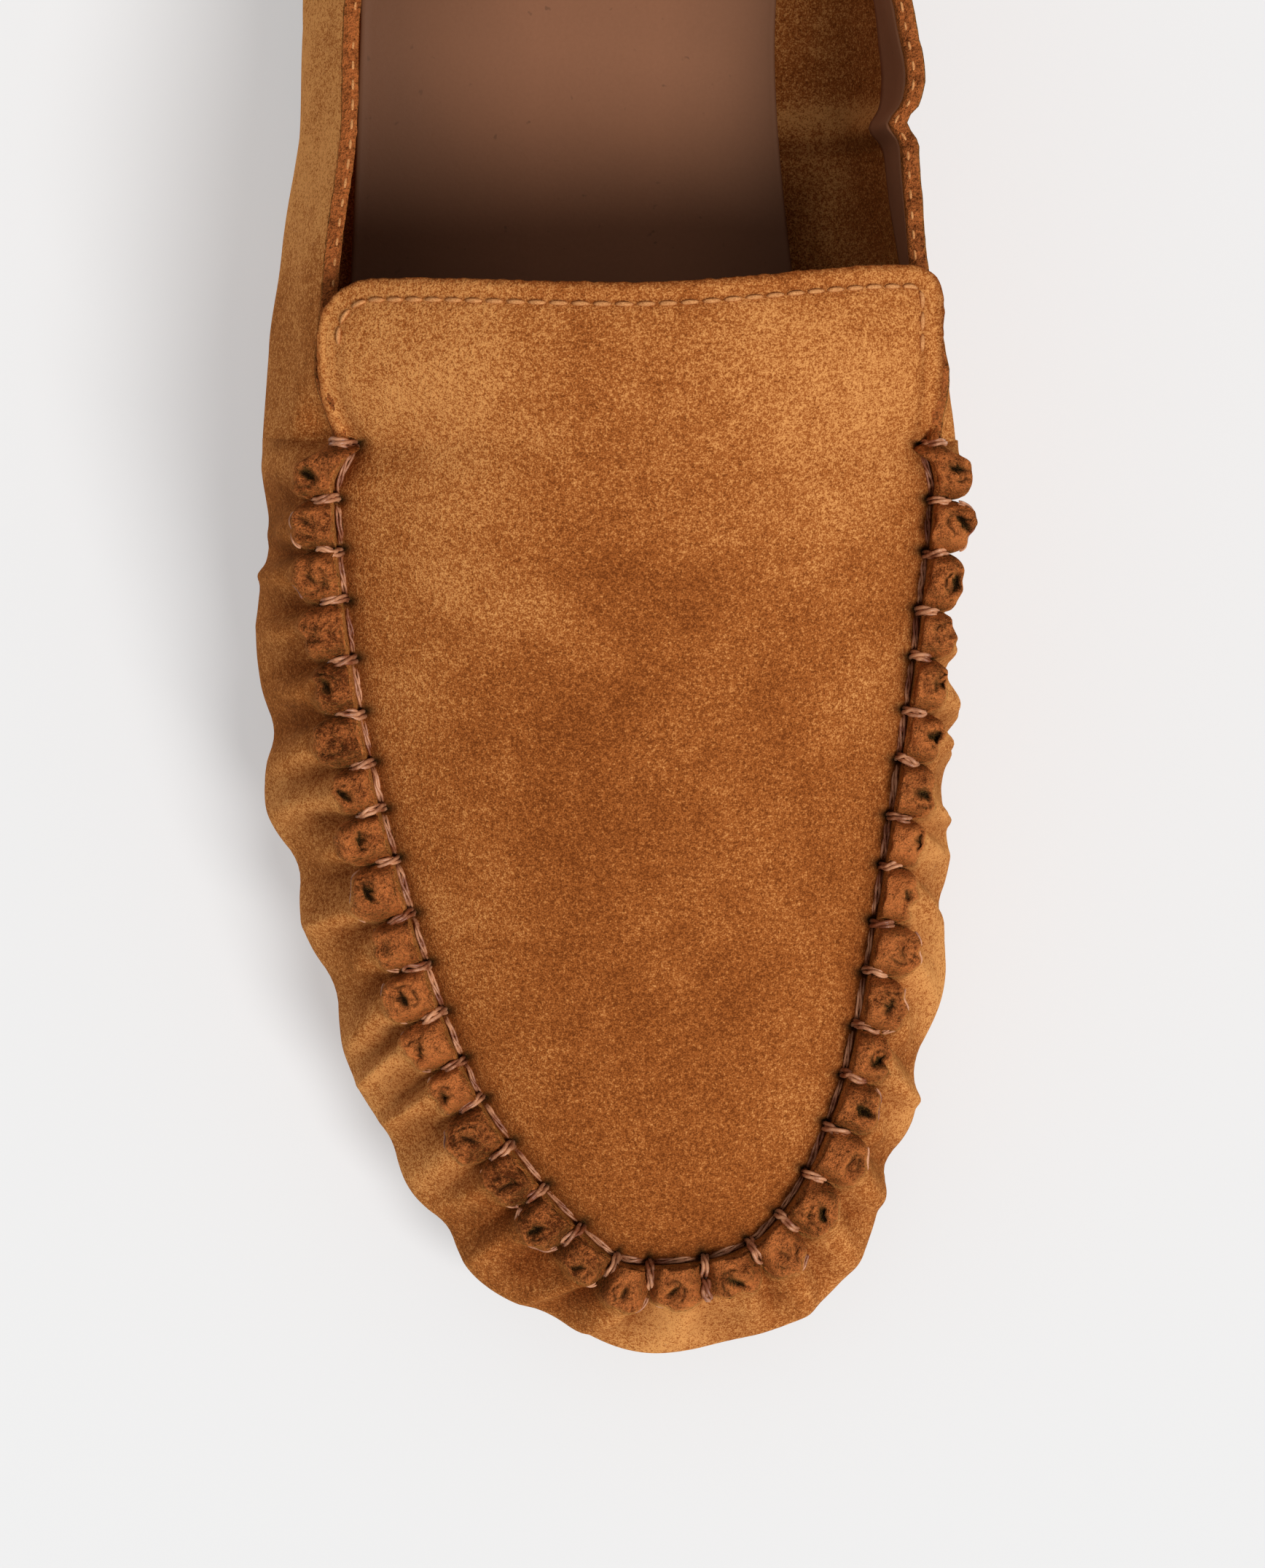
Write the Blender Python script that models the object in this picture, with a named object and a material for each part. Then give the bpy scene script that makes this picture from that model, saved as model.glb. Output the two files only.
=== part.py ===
"""A right-foot suede moccasin with a gathered, hand-sewn apron.

The shoe stands on the XY plane: toe towards -Y, heel towards +Y, and the medial (big toe)
side towards +X. Lengths are millimetres until a mesh is made, and metres in Blender.

Every outline is a closed curve over 22 stations. Station 0 is the toe tip, 1 to 10 run
down the lateral side, 11 is the heel tip, and -1 to -10 are the same places on the medial
side. A sheet of leather is drawn as one skin over those stations, and given its thickness
by a Solidify modifier that grows away from the skin's normal.
"""

import math

import bmesh
import bpy
import numpy as np
from mathutils import Matrix, Vector

MM = 0.001

# Driving dimensions. The outlines below are drawn for this length and scale with it.
DRAWN_LENGTH = 254.0
SHOE_LENGTH = 254.0
SIZE = SHOE_LENGTH / DRAWN_LENGTH
GAP = 0.4

SUEDE = 1.4
APRON_SUEDE = 1.2
LINING = 0.8
OUTSOLE = 3.4
HEEL_HEIGHT = 9.5
TOE_SPRING = 7.0
TOP_PIECE = 3.2
SHANK = 1.1
BOARD = 1.6
FOREPART_FOAM = 3.2
HEEL_FOAM = 2.6
SOCK = 1.0
COUNTER = 1.1
THREAD_RADIUS = 0.35
MACHINE_THREAD_RADIUS = 0.25
THREAD_CLEARANCE = 0.45

GATHERS_PER_SIDE = 18
GATHER_DEPTH = 2.2
GATHER_FADE = (0.55, 0.95)
SEAM_INSET = 3.4
STRIP_HEIGHT = 3.0
SEAM_STITCH_HEIGHT = 0.94
BULGE_AT = 0.42
BEND_Y = -9.7
BEND_HEIGHT = 65.6
TONGUE_END_Y = 9.5
TONGUE_CORNER = 5.0
TONGUE_FLARE = 4.0

# Places along the outline where something starts or ends, as stations.
TIP, SEAM_END, HEEL = 0, 5, 11
STATIONS = 2 * HEEL
COLLAR_START = 5.45
BOARD_START = 5.6
TOPLINE_THREAD_START = 6.3
BREAST = 7.75
BACKSTAY_REACH = 0.42
BACK_SEAM_GAP = 0.018

# Heights of the upper's edge above the ground, from the toe tip to the heel tip.
RIM_HEIGHTS = (30.0, 30.5, 34.0, 41.0, 47.0, 52.0, 53.0, 51.0, 52.0, 58.0, 64.0, 66.0)
BULGE_HEIGHTS = (15.0, 15.0, 15.5, 16.5, 17.0, 18.0, 19.0, 20.5, 23.0, 25.0, 26.0, 26.5)

# Plan outlines as (x, y), toe tip to heel tip, first down the lateral side and then the medial.
SOLE_LATERAL = (
    (5.0, -119.5), (-9.0, -114.5), (-24.0, -94.5), (-36.0, -58.0), (-38.8, -33.0), (-37.8, -8.0),
    (-36.0, 13.0), (-34.6, 42.0), (-33.6, 74.0), (-30.0, 99.0), (-18.5, 116.0), (-3.0, 121.5),
)
SOLE_MEDIAL = (
    (5.0, -119.5), (19.5, -116.0), (33.0, -94.0), (37.8, -60.0), (35.0, -33.0), (30.0, -8.0),
    (26.0, 13.0), (23.5, 42.0), (25.5, 74.0), (23.0, 98.0), (12.0, 115.5), (-3.0, 121.5),
)
BULGE_LATERAL = (
    (5.5, -127.0), (-14.0, -118.9), (-29.5, -99.0), (-42.5, -60.0), (-45.2, -34.0), (-44.7, -8.0),
    (-42.8, 13.0), (-40.4, 42.0), (-38.5, 74.0), (-34.0, 100.0), (-21.0, 119.5), (-3.0, 125.4),
)
BULGE_MEDIAL = (
    (5.5, -127.0), (25.0, -122.0), (38.6, -99.0), (44.3, -62.0), (42.8, -34.0), (39.5, -8.0),
    (36.0, 13.0), (32.5, 42.0), (30.5, 74.0), (27.0, 99.0), (15.0, 119.0), (-3.0, 125.4),
)
RIM_LATERAL = (
    (7.5, -118.0), (-4.3, -114.3), (-20.9, -92.4), (-32.1, -58.0), (-36.7, -32.0), (-38.0, -10.0),
    (-35.6, 12.0), (-33.2, 40.0), (-30.6, 72.0), (-26.5, 97.0), (-15.5, 115.2), (-2.5, 120.5),
)
RIM_MEDIAL = (
    (7.5, -118.0), (22.4, -112.8), (32.9, -92.9), (39.1, -58.1), (42.6, -32.0), (44.1, -10.0),
    (40.4, 12.0), (39.2, 40.0), (32.0, 72.0), (24.5, 97.0), (12.5, 114.7), (-2.5, 120.5),
)

# The middle line that the bottom layers close on, and the one that the apron closes on.
BOTTOM_SPINE = ((4.0, -88.0), (-3.0, 95.0))
APRON_SPINE = ((6.0, -88.0), (3.0, -10.0))
CROWN_HEIGHTS = (38.5, 66.0)


def closed_curve(lateral, medial, heights=None):
    """The control points of a closed outline, round from the toe tip by way of the heel."""
    points = [list(p) for p in lateral] + [list(p) for p in reversed(medial[1:-1])]
    if heights:
        levels = list(heights) + list(reversed(heights[1:-1]))
        for point, level in zip(points, levels):
            point.append(level)
    return np.array(points) * SIZE


def on_curve(points, station):
    """A Catmull-Rom curve through the control points, at a station between -11 and 11."""
    place = station % STATIONS
    first = int(math.floor(place))
    t = place - first
    a, b, c, d = (points[(first + k) % STATIONS] for k in (-1, 0, 1, 2))
    return 0.5 * (2 * b + (c - a) * t + (2 * a - 5 * b + 4 * c - d) * t**2
                  + (3 * b - 3 * c + d - a) * t**3)


SOLE_EDGE = closed_curve(SOLE_LATERAL, SOLE_MEDIAL)
BULGE = closed_curve(BULGE_LATERAL, BULGE_MEDIAL, BULGE_HEIGHTS)
RIM = closed_curve(RIM_LATERAL, RIM_MEDIAL, RIM_HEIGHTS)


def smoothstep(low, high, value):
    t = min(1.0, max(0.0, (value - low) / (high - low)))
    return t * t * (3 - 2 * t)


def ground_clearance(y):
    """Height of the outsole's underside: flat tread, toe spring, and the rise to the heel seat."""
    toe = TOE_SPRING * (max(0.0, -65.0 * SIZE - y) / (54.5 * SIZE)) ** 2
    return toe + HEEL_HEIGHT * smoothstep(-12.0 * SIZE, 60.0 * SIZE, y)


def even_stations(points, first, last, count):
    """Stations that divide a stretch of a curve into equal lengths."""
    fine = np.linspace(first, last, 40 * count + 1)
    places = np.array([on_curve(points, s) for s in fine])
    lengths = np.concatenate([[0.0], np.cumsum(np.linalg.norm(np.diff(places, axis=0), axis=1))])
    return np.interp(np.linspace(0.0, lengths[-1], count + 1), lengths, fine)


def outward(points, station):
    """The horizontal unit vector that points out of an outline."""
    step = 0.02
    along = on_curve(points, station + step) - on_curve(points, station - step)
    side = np.array([-along[1], along[0], 0.0])
    return side / np.linalg.norm(side)


# ---------------------------------------------------------------- bottom layers

def spine_point(station):
    share = abs(station) / HEEL
    start, end = (np.array(p) * SIZE for p in BOTTOM_SPINE)
    return start + (end - start) * share


def bottom_point(station, reach, inset, layer):
    """A point of a bottom layer: reach 0 is on the spine and 1 is on the edge."""
    centre = spine_point(station)
    edge = on_curve(SOLE_EDGE, station)
    inward = centre - edge
    edge = edge + inward / np.linalg.norm(inward) * inset
    x, y = centre + (edge - centre) * reach
    return np.array([x, y, ground_clearance(y) + layer(y)])


def full_round(count):
    """Signed stations from the heel, up the medial side, over the toe and back to the heel."""
    lateral = even_stations(BULGE, TIP, HEEL, count)
    return list(-lateral[::-1]) + list(lateral[1:])


def stretch_of(low, high, count):
    """Signed stations of both sides between two stations, medial side first."""
    side = np.linspace(low, high, count + 1)
    return list(-side[::-1]), list(side)


# ---------------------------------------------------------------- walls of the upper

def wall(station, height):
    """A point of the upper's outer face: height 0 is at the sole edge and 1 is at the rim."""
    x, y = on_curve(SOLE_EDGE, station)
    low = np.array([x, y, ground_clearance(y) + OUTSOLE + GAP + SUEDE])
    middle, high = on_curve(BULGE, station), on_curve(RIM, station)
    t = BULGE_AT
    handle = (middle - (1 - t) ** 2 * low - t**2 * high) / (2 * t * (1 - t))
    return (1 - height) ** 2 * low + 2 * height * (1 - height) * handle + height**2 * high


def off_wall(station, height, distance):
    """A point beside the upper's outer face, by a distance that is negative inside the shoe."""
    ds, dh = 0.02, 0.01
    around = wall(station + ds, height) - wall(station - ds, height)
    upward = wall(station, height + dh) - wall(station, height - dh)
    normal = np.cross(upward, around)
    return wall(station, height) + normal / np.linalg.norm(normal) * distance


def seam(station, inset=0.0):
    """The foot of the apron's turned-up edge, at the rim's height."""
    return on_curve(RIM, station) - outward(RIM, station) * (SEAM_INSET + inset)


def gather_swell(station, height, share):
    """How far a gather stands out of the wall: share is 0 in a valley and 1 on a crest."""
    fade = smoothstep(*GATHER_FADE, height)
    return outward(RIM, station) * GATHER_DEPTH * fade * share


# ---------------------------------------------------------------- making objects

def material(name, colour, roughness, metallic=0.0):
    found = bpy.data.materials.get(name)
    if found:
        return found
    made = bpy.data.materials.new(name)
    made.use_nodes = True
    shader = made.node_tree.nodes["Principled BSDF"]
    shader.inputs["Base Color"].default_value = (*colour, 1.0)
    shader.inputs["Roughness"].default_value = roughness
    shader.inputs["Metallic"].default_value = metallic
    return made


def suede():
    return material("tan_suede", (0.41, 0.17, 0.045), 0.95)


def lining_leather():
    return material("lining_leather", (0.28, 0.15, 0.09), 0.6)


def thread_fibre():
    return material("waxed_thread", (0.45, 0.24, 0.12), 0.5)


def sole_rubber():
    return material("sole_rubber", (0.05, 0.028, 0.018), 0.7)


def link(name, mesh, finish):
    made = bpy.data.objects.new(name, mesh)
    bpy.context.scene.collection.objects.link(made)
    made.data.materials.append(finish)
    return made


def mesh_of(name, build):
    work = bmesh.new()
    build(work)
    mesh = bpy.data.meshes.new(name)
    work.to_mesh(mesh)
    work.free()
    mesh.shade_smooth()
    mesh.set_sharp_from_angle(angle=math.radians(45))
    return mesh


def sheet(name, rows, thickness, finish):
    """A skin through rows of points, thickened on the side away from its normal."""
    def build(work):
        grid = [[work.verts.new([float(v) * MM for v in p]) for p in row] for row in rows]
        for low, high in zip(grid, grid[1:]):
            for c in range(len(low) - 1):
                work.faces.new((low[c], high[c], high[c + 1], low[c + 1]))
        bmesh.ops.remove_doubles(work, verts=work.verts, dist=1e-6)
        bmesh.ops.dissolve_degenerate(work, edges=work.edges, dist=1e-6)

    made = link(name, mesh_of(name, build), finish)
    thick = made.modifiers.new("thickness", "SOLIDIFY")
    thick.thickness = thickness * MM
    thick.offset = -1.0
    thick.use_even_offset = True
    return made


def prism(name, outline, low, high, finish):
    """A plate with upright sides between two heights."""
    def build(work):
        corners = [work.verts.new((x * MM, y * MM, low * MM)) for x, y in outline]
        base = work.faces.new(corners)
        raised = bmesh.ops.extrude_face_region(work, geom=[base])
        tops = [v for v in raised["geom"] if isinstance(v, bmesh.types.BMVert)]
        bmesh.ops.translate(work, vec=(0, 0, (high - low) * MM), verts=tops)
        bmesh.ops.recalc_face_normals(work, faces=work.faces)

    return link(name, mesh_of(name, build), finish)


def cord(name, path, radius, finish):
    """A thread as a curve with a bevel and closed ends."""
    data = bpy.data.curves.new(name, "CURVE")
    data.dimensions = "3D"
    data.bevel_depth = radius * MM
    data.bevel_resolution = 0
    data.use_fill_caps = True
    line = data.splines.new("POLY")
    line.points.add(len(path) - 1)
    for point, place in zip(line.points, path):
        point.co = (*(float(v) * MM for v in place), 1.0)
    return link(name, data, finish)


# ---------------------------------------------------------------- the sole and what lies on it

def bottom_rows(stations, inset, layer):
    """A layer's rows, from the shoe's middle line out to its edge."""
    return [[bottom_point(s, reach, inset, layer) for s in stations] for reach in (0.0, 0.5, 1.0)]


def outsole():
    return sheet("outsole", bottom_rows(full_round(26), -0.8, lambda y: 0.0), OUTSOLE, sole_rubber())


def heel_outline(inset):
    side = np.linspace(BREAST, HEEL, 9)
    stations = list(side) + list(-side[-2::-1])
    return [bottom_point(s, 1.0, inset, lambda y: 0.0)[:2] for s in stations]


def heel_lift():
    stacked = material("stacked_leather", (0.13, 0.065, 0.035), 0.6)
    return prism("heel_lift", heel_outline(0.6), TOP_PIECE + GAP, HEEL_HEIGHT - GAP, stacked)


def heel_top_piece():
    return prism("heel_top_piece", heel_outline(0.9), 0.0, TOP_PIECE, sole_rubber())


WRAP_FLOOR = OUTSOLE + GAP
INSIDE_FLOOR = WRAP_FLOOR + SUEDE + GAP
BOARD_FLOOR = INSIDE_FLOOR + SHANK + GAP
HEEL_FOAM_FLOOR = BOARD_FLOOR + BOARD + GAP
SOCK_FLOOR_FRONT = INSIDE_FLOOR + FOREPART_FOAM + GAP
SOCK_FLOOR_REAR = HEEL_FOAM_FLOOR + HEEL_FOAM + 1.5 * GAP
BOARD_INSET = 3.6
SOCK_INSET = 2.6
SHANK_HALF_WIDTH = 6.0
SHANK_SPAN = (6.0, 88.0)
SHANK_X = -4.0


def sock_floor(y):
    rise = smoothstep(-26.0 * SIZE, 0.0, y)
    return SOCK_FLOOR_FRONT + (SOCK_FLOOR_REAR - SOCK_FLOOR_FRONT) * rise


def rear_layer(name, front, inset, floor, thickness, finish):
    """A layer that covers the back part of the shoe only, from one straight front edge."""
    lateral = stretch_of(front, HEEL, 12)[1]
    columns = (1.0, 0.5, 0.0)
    rows = [[bottom_point(s, reach, inset, lambda y: floor) for reach in columns]
            + [bottom_point(-s, reach, inset, lambda y: floor) for reach in columns[-2::-1]]
            for s in lateral]
    return sheet(name, rows, thickness, finish)


def shank():
    steel = material("shank_steel", (0.55, 0.55, 0.57), 0.35, 1.0)
    left, right = SHANK_X - SHANK_HALF_WIDTH, SHANK_X + SHANK_HALF_WIDTH
    rows = []
    for y in np.linspace(*SHANK_SPAN, 12) * SIZE:
        z = ground_clearance(y) + INSIDE_FLOOR
        rows.append([(left * SIZE, y, z), (right * SIZE, y, z)])
    return sheet("shank", rows, SHANK, steel)


def insole_board():
    fibre = material("fibre_board", (0.38, 0.27, 0.16), 0.8)
    return rear_layer("insole_board", BOARD_START, BOARD_INSET, BOARD_FLOOR, BOARD, fibre)


def foam_finish():
    return material("latex_foam", (0.68, 0.58, 0.42), 0.9)


def heel_foam():
    return rear_layer("heel_foam", BOARD_START, BOARD_INSET, HEEL_FOAM_FLOOR, HEEL_FOAM, foam_finish())


def forepart_foam():
    """A pad under the forefoot, from the toe to where the insole board starts."""
    front = np.linspace(TIP, 4.75, 15)
    columns = (1.0, 0.5, 0.0)
    rows = [[bottom_point(s, reach, BOARD_INSET, lambda y: INSIDE_FLOOR) for reach in columns]
            + [bottom_point(-s, reach, BOARD_INSET, lambda y: INSIDE_FLOOR)
               for reach in columns[-2::-1]]
            for s in front]
    return sheet("forepart_foam", rows, FOREPART_FOAM, foam_finish())


def sock_lining():
    return sheet("sock_lining", bottom_rows(full_round(26), SOCK_INSET, sock_floor), SOCK, lining_leather())


# ---------------------------------------------------------------- the upper

def wrap_columns():
    """Signed stations with whether each is on a gather's crest, open at the back seam."""
    valleys = even_stations(RIM, TIP, SEAM_END, GATHERS_PER_SIDE)
    lateral = [(valleys[0], 0.0)]
    for here, after in zip(valleys, valleys[1:]):
        lateral += [(0.5 * (here + after), 1.0), (after, 0.0)]
    lateral += [(s, 0.0) for s in even_stations(RIM, SEAM_END, HEEL, 24)[1:]]
    medial = [(-s, crest) for s, crest in reversed(lateral[1:])]
    return medial + lateral


def moccasin_wrap():
    """One hide from under the foot to the apron seam and the topline, joined at the heel."""
    columns = wrap_columns()
    layer = lambda y: WRAP_FLOOR
    rows = [[bottom_point(s, reach, 1.4, layer) for s, _ in columns] for reach in (0.0, 0.5, 1.0)]
    for height in (0.03, 0.22, 0.42, 0.62, 0.8, 0.92, 1.0):
        row = []
        for s, crest in columns:
            s = max(BACK_SEAM_GAP - HEEL, min(HEEL - BACK_SEAM_GAP, s))
            row.append(wall(s, height) + gather_swell(s, height, crest))
        rows.append(row)
    return sheet("moccasin_wrap", rows, SUEDE, suede())


def apron_crown(y):
    """Height of the apron's middle line, which climbs from the toe to the tongue."""
    toe, instep = CROWN_HEIGHTS
    start, end = (p[1] * SIZE for p in APRON_SPINE)
    return (toe + (instep - toe) * (y - start) / (end - start)) * SIZE


def apron_point(station, share, inset=0.0, drop=0.0):
    """A point of the apron's face: share 0 is in the groove by the seam and 1 on the middle line."""
    x, y = seam(station, inset)[:2]
    groove = on_curve(RIM, station)[2] - STRIP_HEIGHT
    start, end = (np.array(p) * SIZE for p in APRON_SPINE)
    middle = start + (end - start) * (abs(station) / SEAM_END) ** 1.3
    rise = (apron_crown(middle[1]) - groove) * (1 - (1 - share) ** 2)
    return np.array([x + (middle[0] - x) * share, y + (middle[1] - y) * share, groove + rise - drop])


def apron_stations():
    side = even_stations(RIM, TIP, SEAM_END, GATHERS_PER_SIDE)
    return list(-side[::-1]) + list(side[1:])


def apron():
    stations = apron_stations()
    rows = [[seam(s) - np.array([0, 0, 0.2]) for s in stations]]
    for share in (0.008, 0.12, 0.3, 0.6, 1.0):
        rows.append([apron_point(s, share) for s in stations])
    return sheet("apron", rows, APRON_SUEDE, suede())


def apron_lining():
    stations = apron_stations()[1:-1]
    rows = [[apron_point(s, share, 1.5, 2.4) for s in stations] for share in (0.0, 0.14, 0.3, 0.6, 1.0)]
    return sheet("apron_lining", rows, LINING, lining_leather())


TONGUE_SHARES = (0.0, 0.2, 0.45, 0.72, 0.86, 0.95, 0.99)
TONGUE_ROOT = (37.6, -32.2)
TONGUE_SIDE_HEIGHTS = (50.6, 55.8)
TONGUE_HOLLOW = 1.2
BEND = np.array([0.0, BEND_Y, BEND_HEIGHT]) * SIZE


def pivoted(made):
    """The same piece, with its origin on the line where the tongue bends."""
    bend = Vector([float(v) * MM for v in BEND])
    made.data.transform(Matrix.Translation(-bend))
    made.location = bend
    return made


def tongue_edges(share):
    """Medial and lateral x of the tongue, from its bend (share 0) to its free end (share 1)."""
    straight = TONGUE_SHARES[3]
    round_in = max(0.0, (share - straight) / (1 - straight))
    corner = TONGUE_CORNER * (1 - math.sqrt(1 - round_in**2))
    flare = TONGUE_FLARE * smoothstep(0.0, TONGUE_SHARES[2], share)
    medial, lateral = TONGUE_ROOT
    return (medial + flare - corner) * SIZE, (lateral - flare + corner) * SIZE


def tongue_point(across, share, inset=0.0, drop=0.0):
    """across runs from 1 on the medial edge to -1 on the lateral edge."""
    medial, lateral = tongue_edges(share)
    medial, lateral = medial - inset, lateral + inset
    x = 0.5 * (medial + lateral) + 0.5 * (medial - lateral) * across
    start = BEND_Y + GAP
    arch = 1 - across**2
    y = start + (TONGUE_END_Y + 0.8 * across - TONGUE_HOLLOW * arch - start) * share
    low, high = TONGUE_SIDE_HEIGHTS
    side = low + (high - low) * smoothstep(0.0, 0.5, share)
    crown = CROWN_HEIGHTS[1] - low - 2.0 * share
    return np.array([x, y * SIZE, side + crown * arch - drop])


def tongue_rows(inset, drop, shares):
    across = np.linspace(1.0, -1.0, 11)
    return [[tongue_point(a, share, inset, drop) for a in across] for share in shares]


def tongue_flap():
    rows = tongue_rows(0.0, 0.0, TONGUE_SHARES)
    return pivoted(sheet("tongue_flap", rows, APRON_SUEDE, suede()))


def tongue_lining():
    shares = (0.06, 0.25, 0.45, 0.72, 0.86, 0.94)
    rows = tongue_rows(3.0, 2.3, shares)
    return pivoted(sheet("tongue_lining", rows, LINING, lining_leather()))


def wall_patch(name, first, last, columns, low, high, levels, distance, thickness, finish):
    """A piece that lies against the upper's wall, between two stations and two heights."""
    stations = np.linspace(first, last, columns + 1)
    rows = [[off_wall(s, h, distance) for s in stations] for h in np.linspace(low, high, levels + 1)]
    return sheet(name, rows, thickness, finish)


LINING_DEPTH = -(SUEDE + GAP)
COLLAR_LOW = 0.74


def collar_lining(name, side):
    first, last = sorted((side * COLLAR_START, side * (HEEL - 0.03)))
    return wall_patch(name, first, last, 18, COLLAR_LOW, 0.985, 2, LINING_DEPTH, LINING,
                      lining_leather())


def heel_piece(name, reach, low, high, distance, thickness, finish):
    """A piece that wraps round the inside of the heel, from side to side."""
    return wall_patch(name, HEEL - reach, HEEL + reach, 16, low, high, 3, distance, thickness, finish)


def heel_counter():
    board = material("counter_board", (0.5, 0.42, 0.3), 0.85)
    return heel_piece("heel_counter", 2.2, 0.24, 0.69, LINING_DEPTH, COUNTER, board)


def heel_lining():
    depth = LINING_DEPTH - COUNTER - GAP
    return heel_piece("heel_lining", 2.4, 0.26, 0.68, depth, LINING, lining_leather())


def backstay():
    distance = GAP + SUEDE
    return wall_patch("backstay", HEEL - BACKSTAY_REACH, HEEL + BACKSTAY_REACH, 6, 0.2, 0.97, 7,
                      distance, SUEDE, suede())


# ---------------------------------------------------------------- threads

def apron_thread():
    """The hand seam: it runs in the apron's groove, crosses the edge, and loops round a gather."""
    valleys = apron_stations()
    clear = THREAD_RADIUS + THREAD_CLEARANCE

    def in_groove(s, drop):
        return seam(s, clear + 0.3) - np.array([0, 0, drop])

    def round_gather(s, share):
        return off_wall(s, SEAM_STITCH_HEIGHT, clear) + gather_swell(s, SEAM_STITCH_HEIGHT, share)

    def over_edge(s, reach):
        return on_curve(RIM, s) + outward(RIM, s) * reach + np.array([0, 0, clear])

    path = []
    for g, (here, after) in enumerate(zip(valleys, valleys[1:])):
        middle, fifth = 0.5 * (here + after), 0.2 * (after - here)
        if g % 2 == 0:
            path += [in_groove(here + fifth, 1.4), in_groove(middle, 1.6),
                     in_groove(after - fifth, 1.4), over_edge(after, -SEAM_INSET - clear)]
        else:
            path += [over_edge(here, clear), round_gather(here + fifth, 0.4),
                     round_gather(middle, 1.0), round_gather(after - fifth, 0.4),
                     over_edge(after, clear), over_edge(after, -SEAM_INSET - clear)]
    return cord("apron_thread", path, THREAD_RADIUS, thread_fibre())


MACHINE_THREAD_CLEAR = MACHINE_THREAD_RADIUS + THREAD_CLEARANCE
BACKSTAY_FACE = GAP + SUEDE


def machine_thread(name, path):
    return cord(name, path, MACHINE_THREAD_RADIUS, thread_fibre())


def topline_thread():
    """The stitches that hold the collar lining, below the topline from side to side."""
    path = []
    for s in np.linspace(TOPLINE_THREAD_START, STATIONS - TOPLINE_THREAD_START, 72):
        over_backstay = 1 - smoothstep(BACKSTAY_REACH, BACKSTAY_REACH + 0.3, abs(s - HEEL))
        distance = MACHINE_THREAD_CLEAR + BACKSTAY_FACE * over_backstay
        path.append(off_wall(s, 0.94, distance))
    return machine_thread("topline_thread", path)


def tongue_thread():
    path = []
    for across in np.linspace(0.9, -0.9, 25):
        path.append(tongue_point(across, 0.84) + np.array([0, 0, MACHINE_THREAD_CLEAR + 0.1]))
    return pivoted(machine_thread("tongue_thread", path))


def backstay_thread():
    """A row down each edge of the backstay, joined across its foot."""
    distance = MACHINE_THREAD_CLEAR + BACKSTAY_FACE
    reach = BACKSTAY_REACH - 0.12
    heights = np.linspace(0.9, 0.27, 8)
    path = [off_wall(HEEL - reach, h, distance) for h in heights]
    path += [off_wall(HEEL + reach, h, distance) for h in heights[::-1]]
    return machine_thread("backstay_thread", path)


def clear_scene():
    for old in list(bpy.data.objects):
        bpy.data.objects.remove(old)


def main():
    clear_scene()
    for make in (outsole, heel_lift, heel_top_piece, shank, insole_board, forepart_foam, heel_foam,
                 sock_lining, moccasin_wrap, apron, apron_lining, tongue_flap, tongue_lining,
                 heel_counter, heel_lining, backstay, apron_thread, topline_thread, tongue_thread,
                 backstay_thread):
        make()
    collar_lining("collar_lining_lateral", 1)
    collar_lining("collar_lining_medial", -1)


main()
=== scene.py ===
"""The looks of a right-foot suede moccasin with a gathered, hand-sewn apron.

Lengths are millimetres until a mesh is made. -Y is the toe, +X is the medial side, and the
outlines are closed curves over 22 stations: 0 at the toe tip, 11 at the heel tip, lateral
side positive and medial side negative. The gathers are numbered from the medial end of the
seam, round the toe, to the lateral end.
"""

import bpy
import numpy as np
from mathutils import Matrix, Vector


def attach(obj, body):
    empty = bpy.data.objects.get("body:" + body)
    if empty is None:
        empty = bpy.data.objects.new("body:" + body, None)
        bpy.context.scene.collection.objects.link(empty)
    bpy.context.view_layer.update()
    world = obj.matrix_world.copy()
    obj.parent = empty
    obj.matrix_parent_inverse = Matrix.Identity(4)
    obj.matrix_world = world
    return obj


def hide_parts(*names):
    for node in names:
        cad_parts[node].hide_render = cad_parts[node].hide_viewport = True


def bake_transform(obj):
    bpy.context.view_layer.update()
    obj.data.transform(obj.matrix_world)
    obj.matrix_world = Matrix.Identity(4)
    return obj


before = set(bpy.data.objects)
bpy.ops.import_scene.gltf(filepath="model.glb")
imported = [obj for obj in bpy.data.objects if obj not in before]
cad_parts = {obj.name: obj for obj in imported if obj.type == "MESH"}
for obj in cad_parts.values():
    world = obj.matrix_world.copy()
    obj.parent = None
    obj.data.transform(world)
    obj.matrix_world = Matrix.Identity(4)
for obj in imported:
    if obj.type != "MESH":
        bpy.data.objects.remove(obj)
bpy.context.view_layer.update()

MM = 0.001

# ---------------------------------------------------------------- dimensions shared with the frame

SUEDE = 1.4
OUTSOLE = 3.4
WRAP_FLOOR = 3.8
HEEL_HEIGHT = 9.5
TOP_PIECE = 3.2
TOE_SPRING = 7.0
STRIP_HEIGHT = 3.0
BULGE_AT = 0.42
SEAM_END, HEEL, STATIONS = 5, 11, 22
GATHERS = 36
SEAM_INSET = 3.3
BREAST = 7.75

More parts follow.
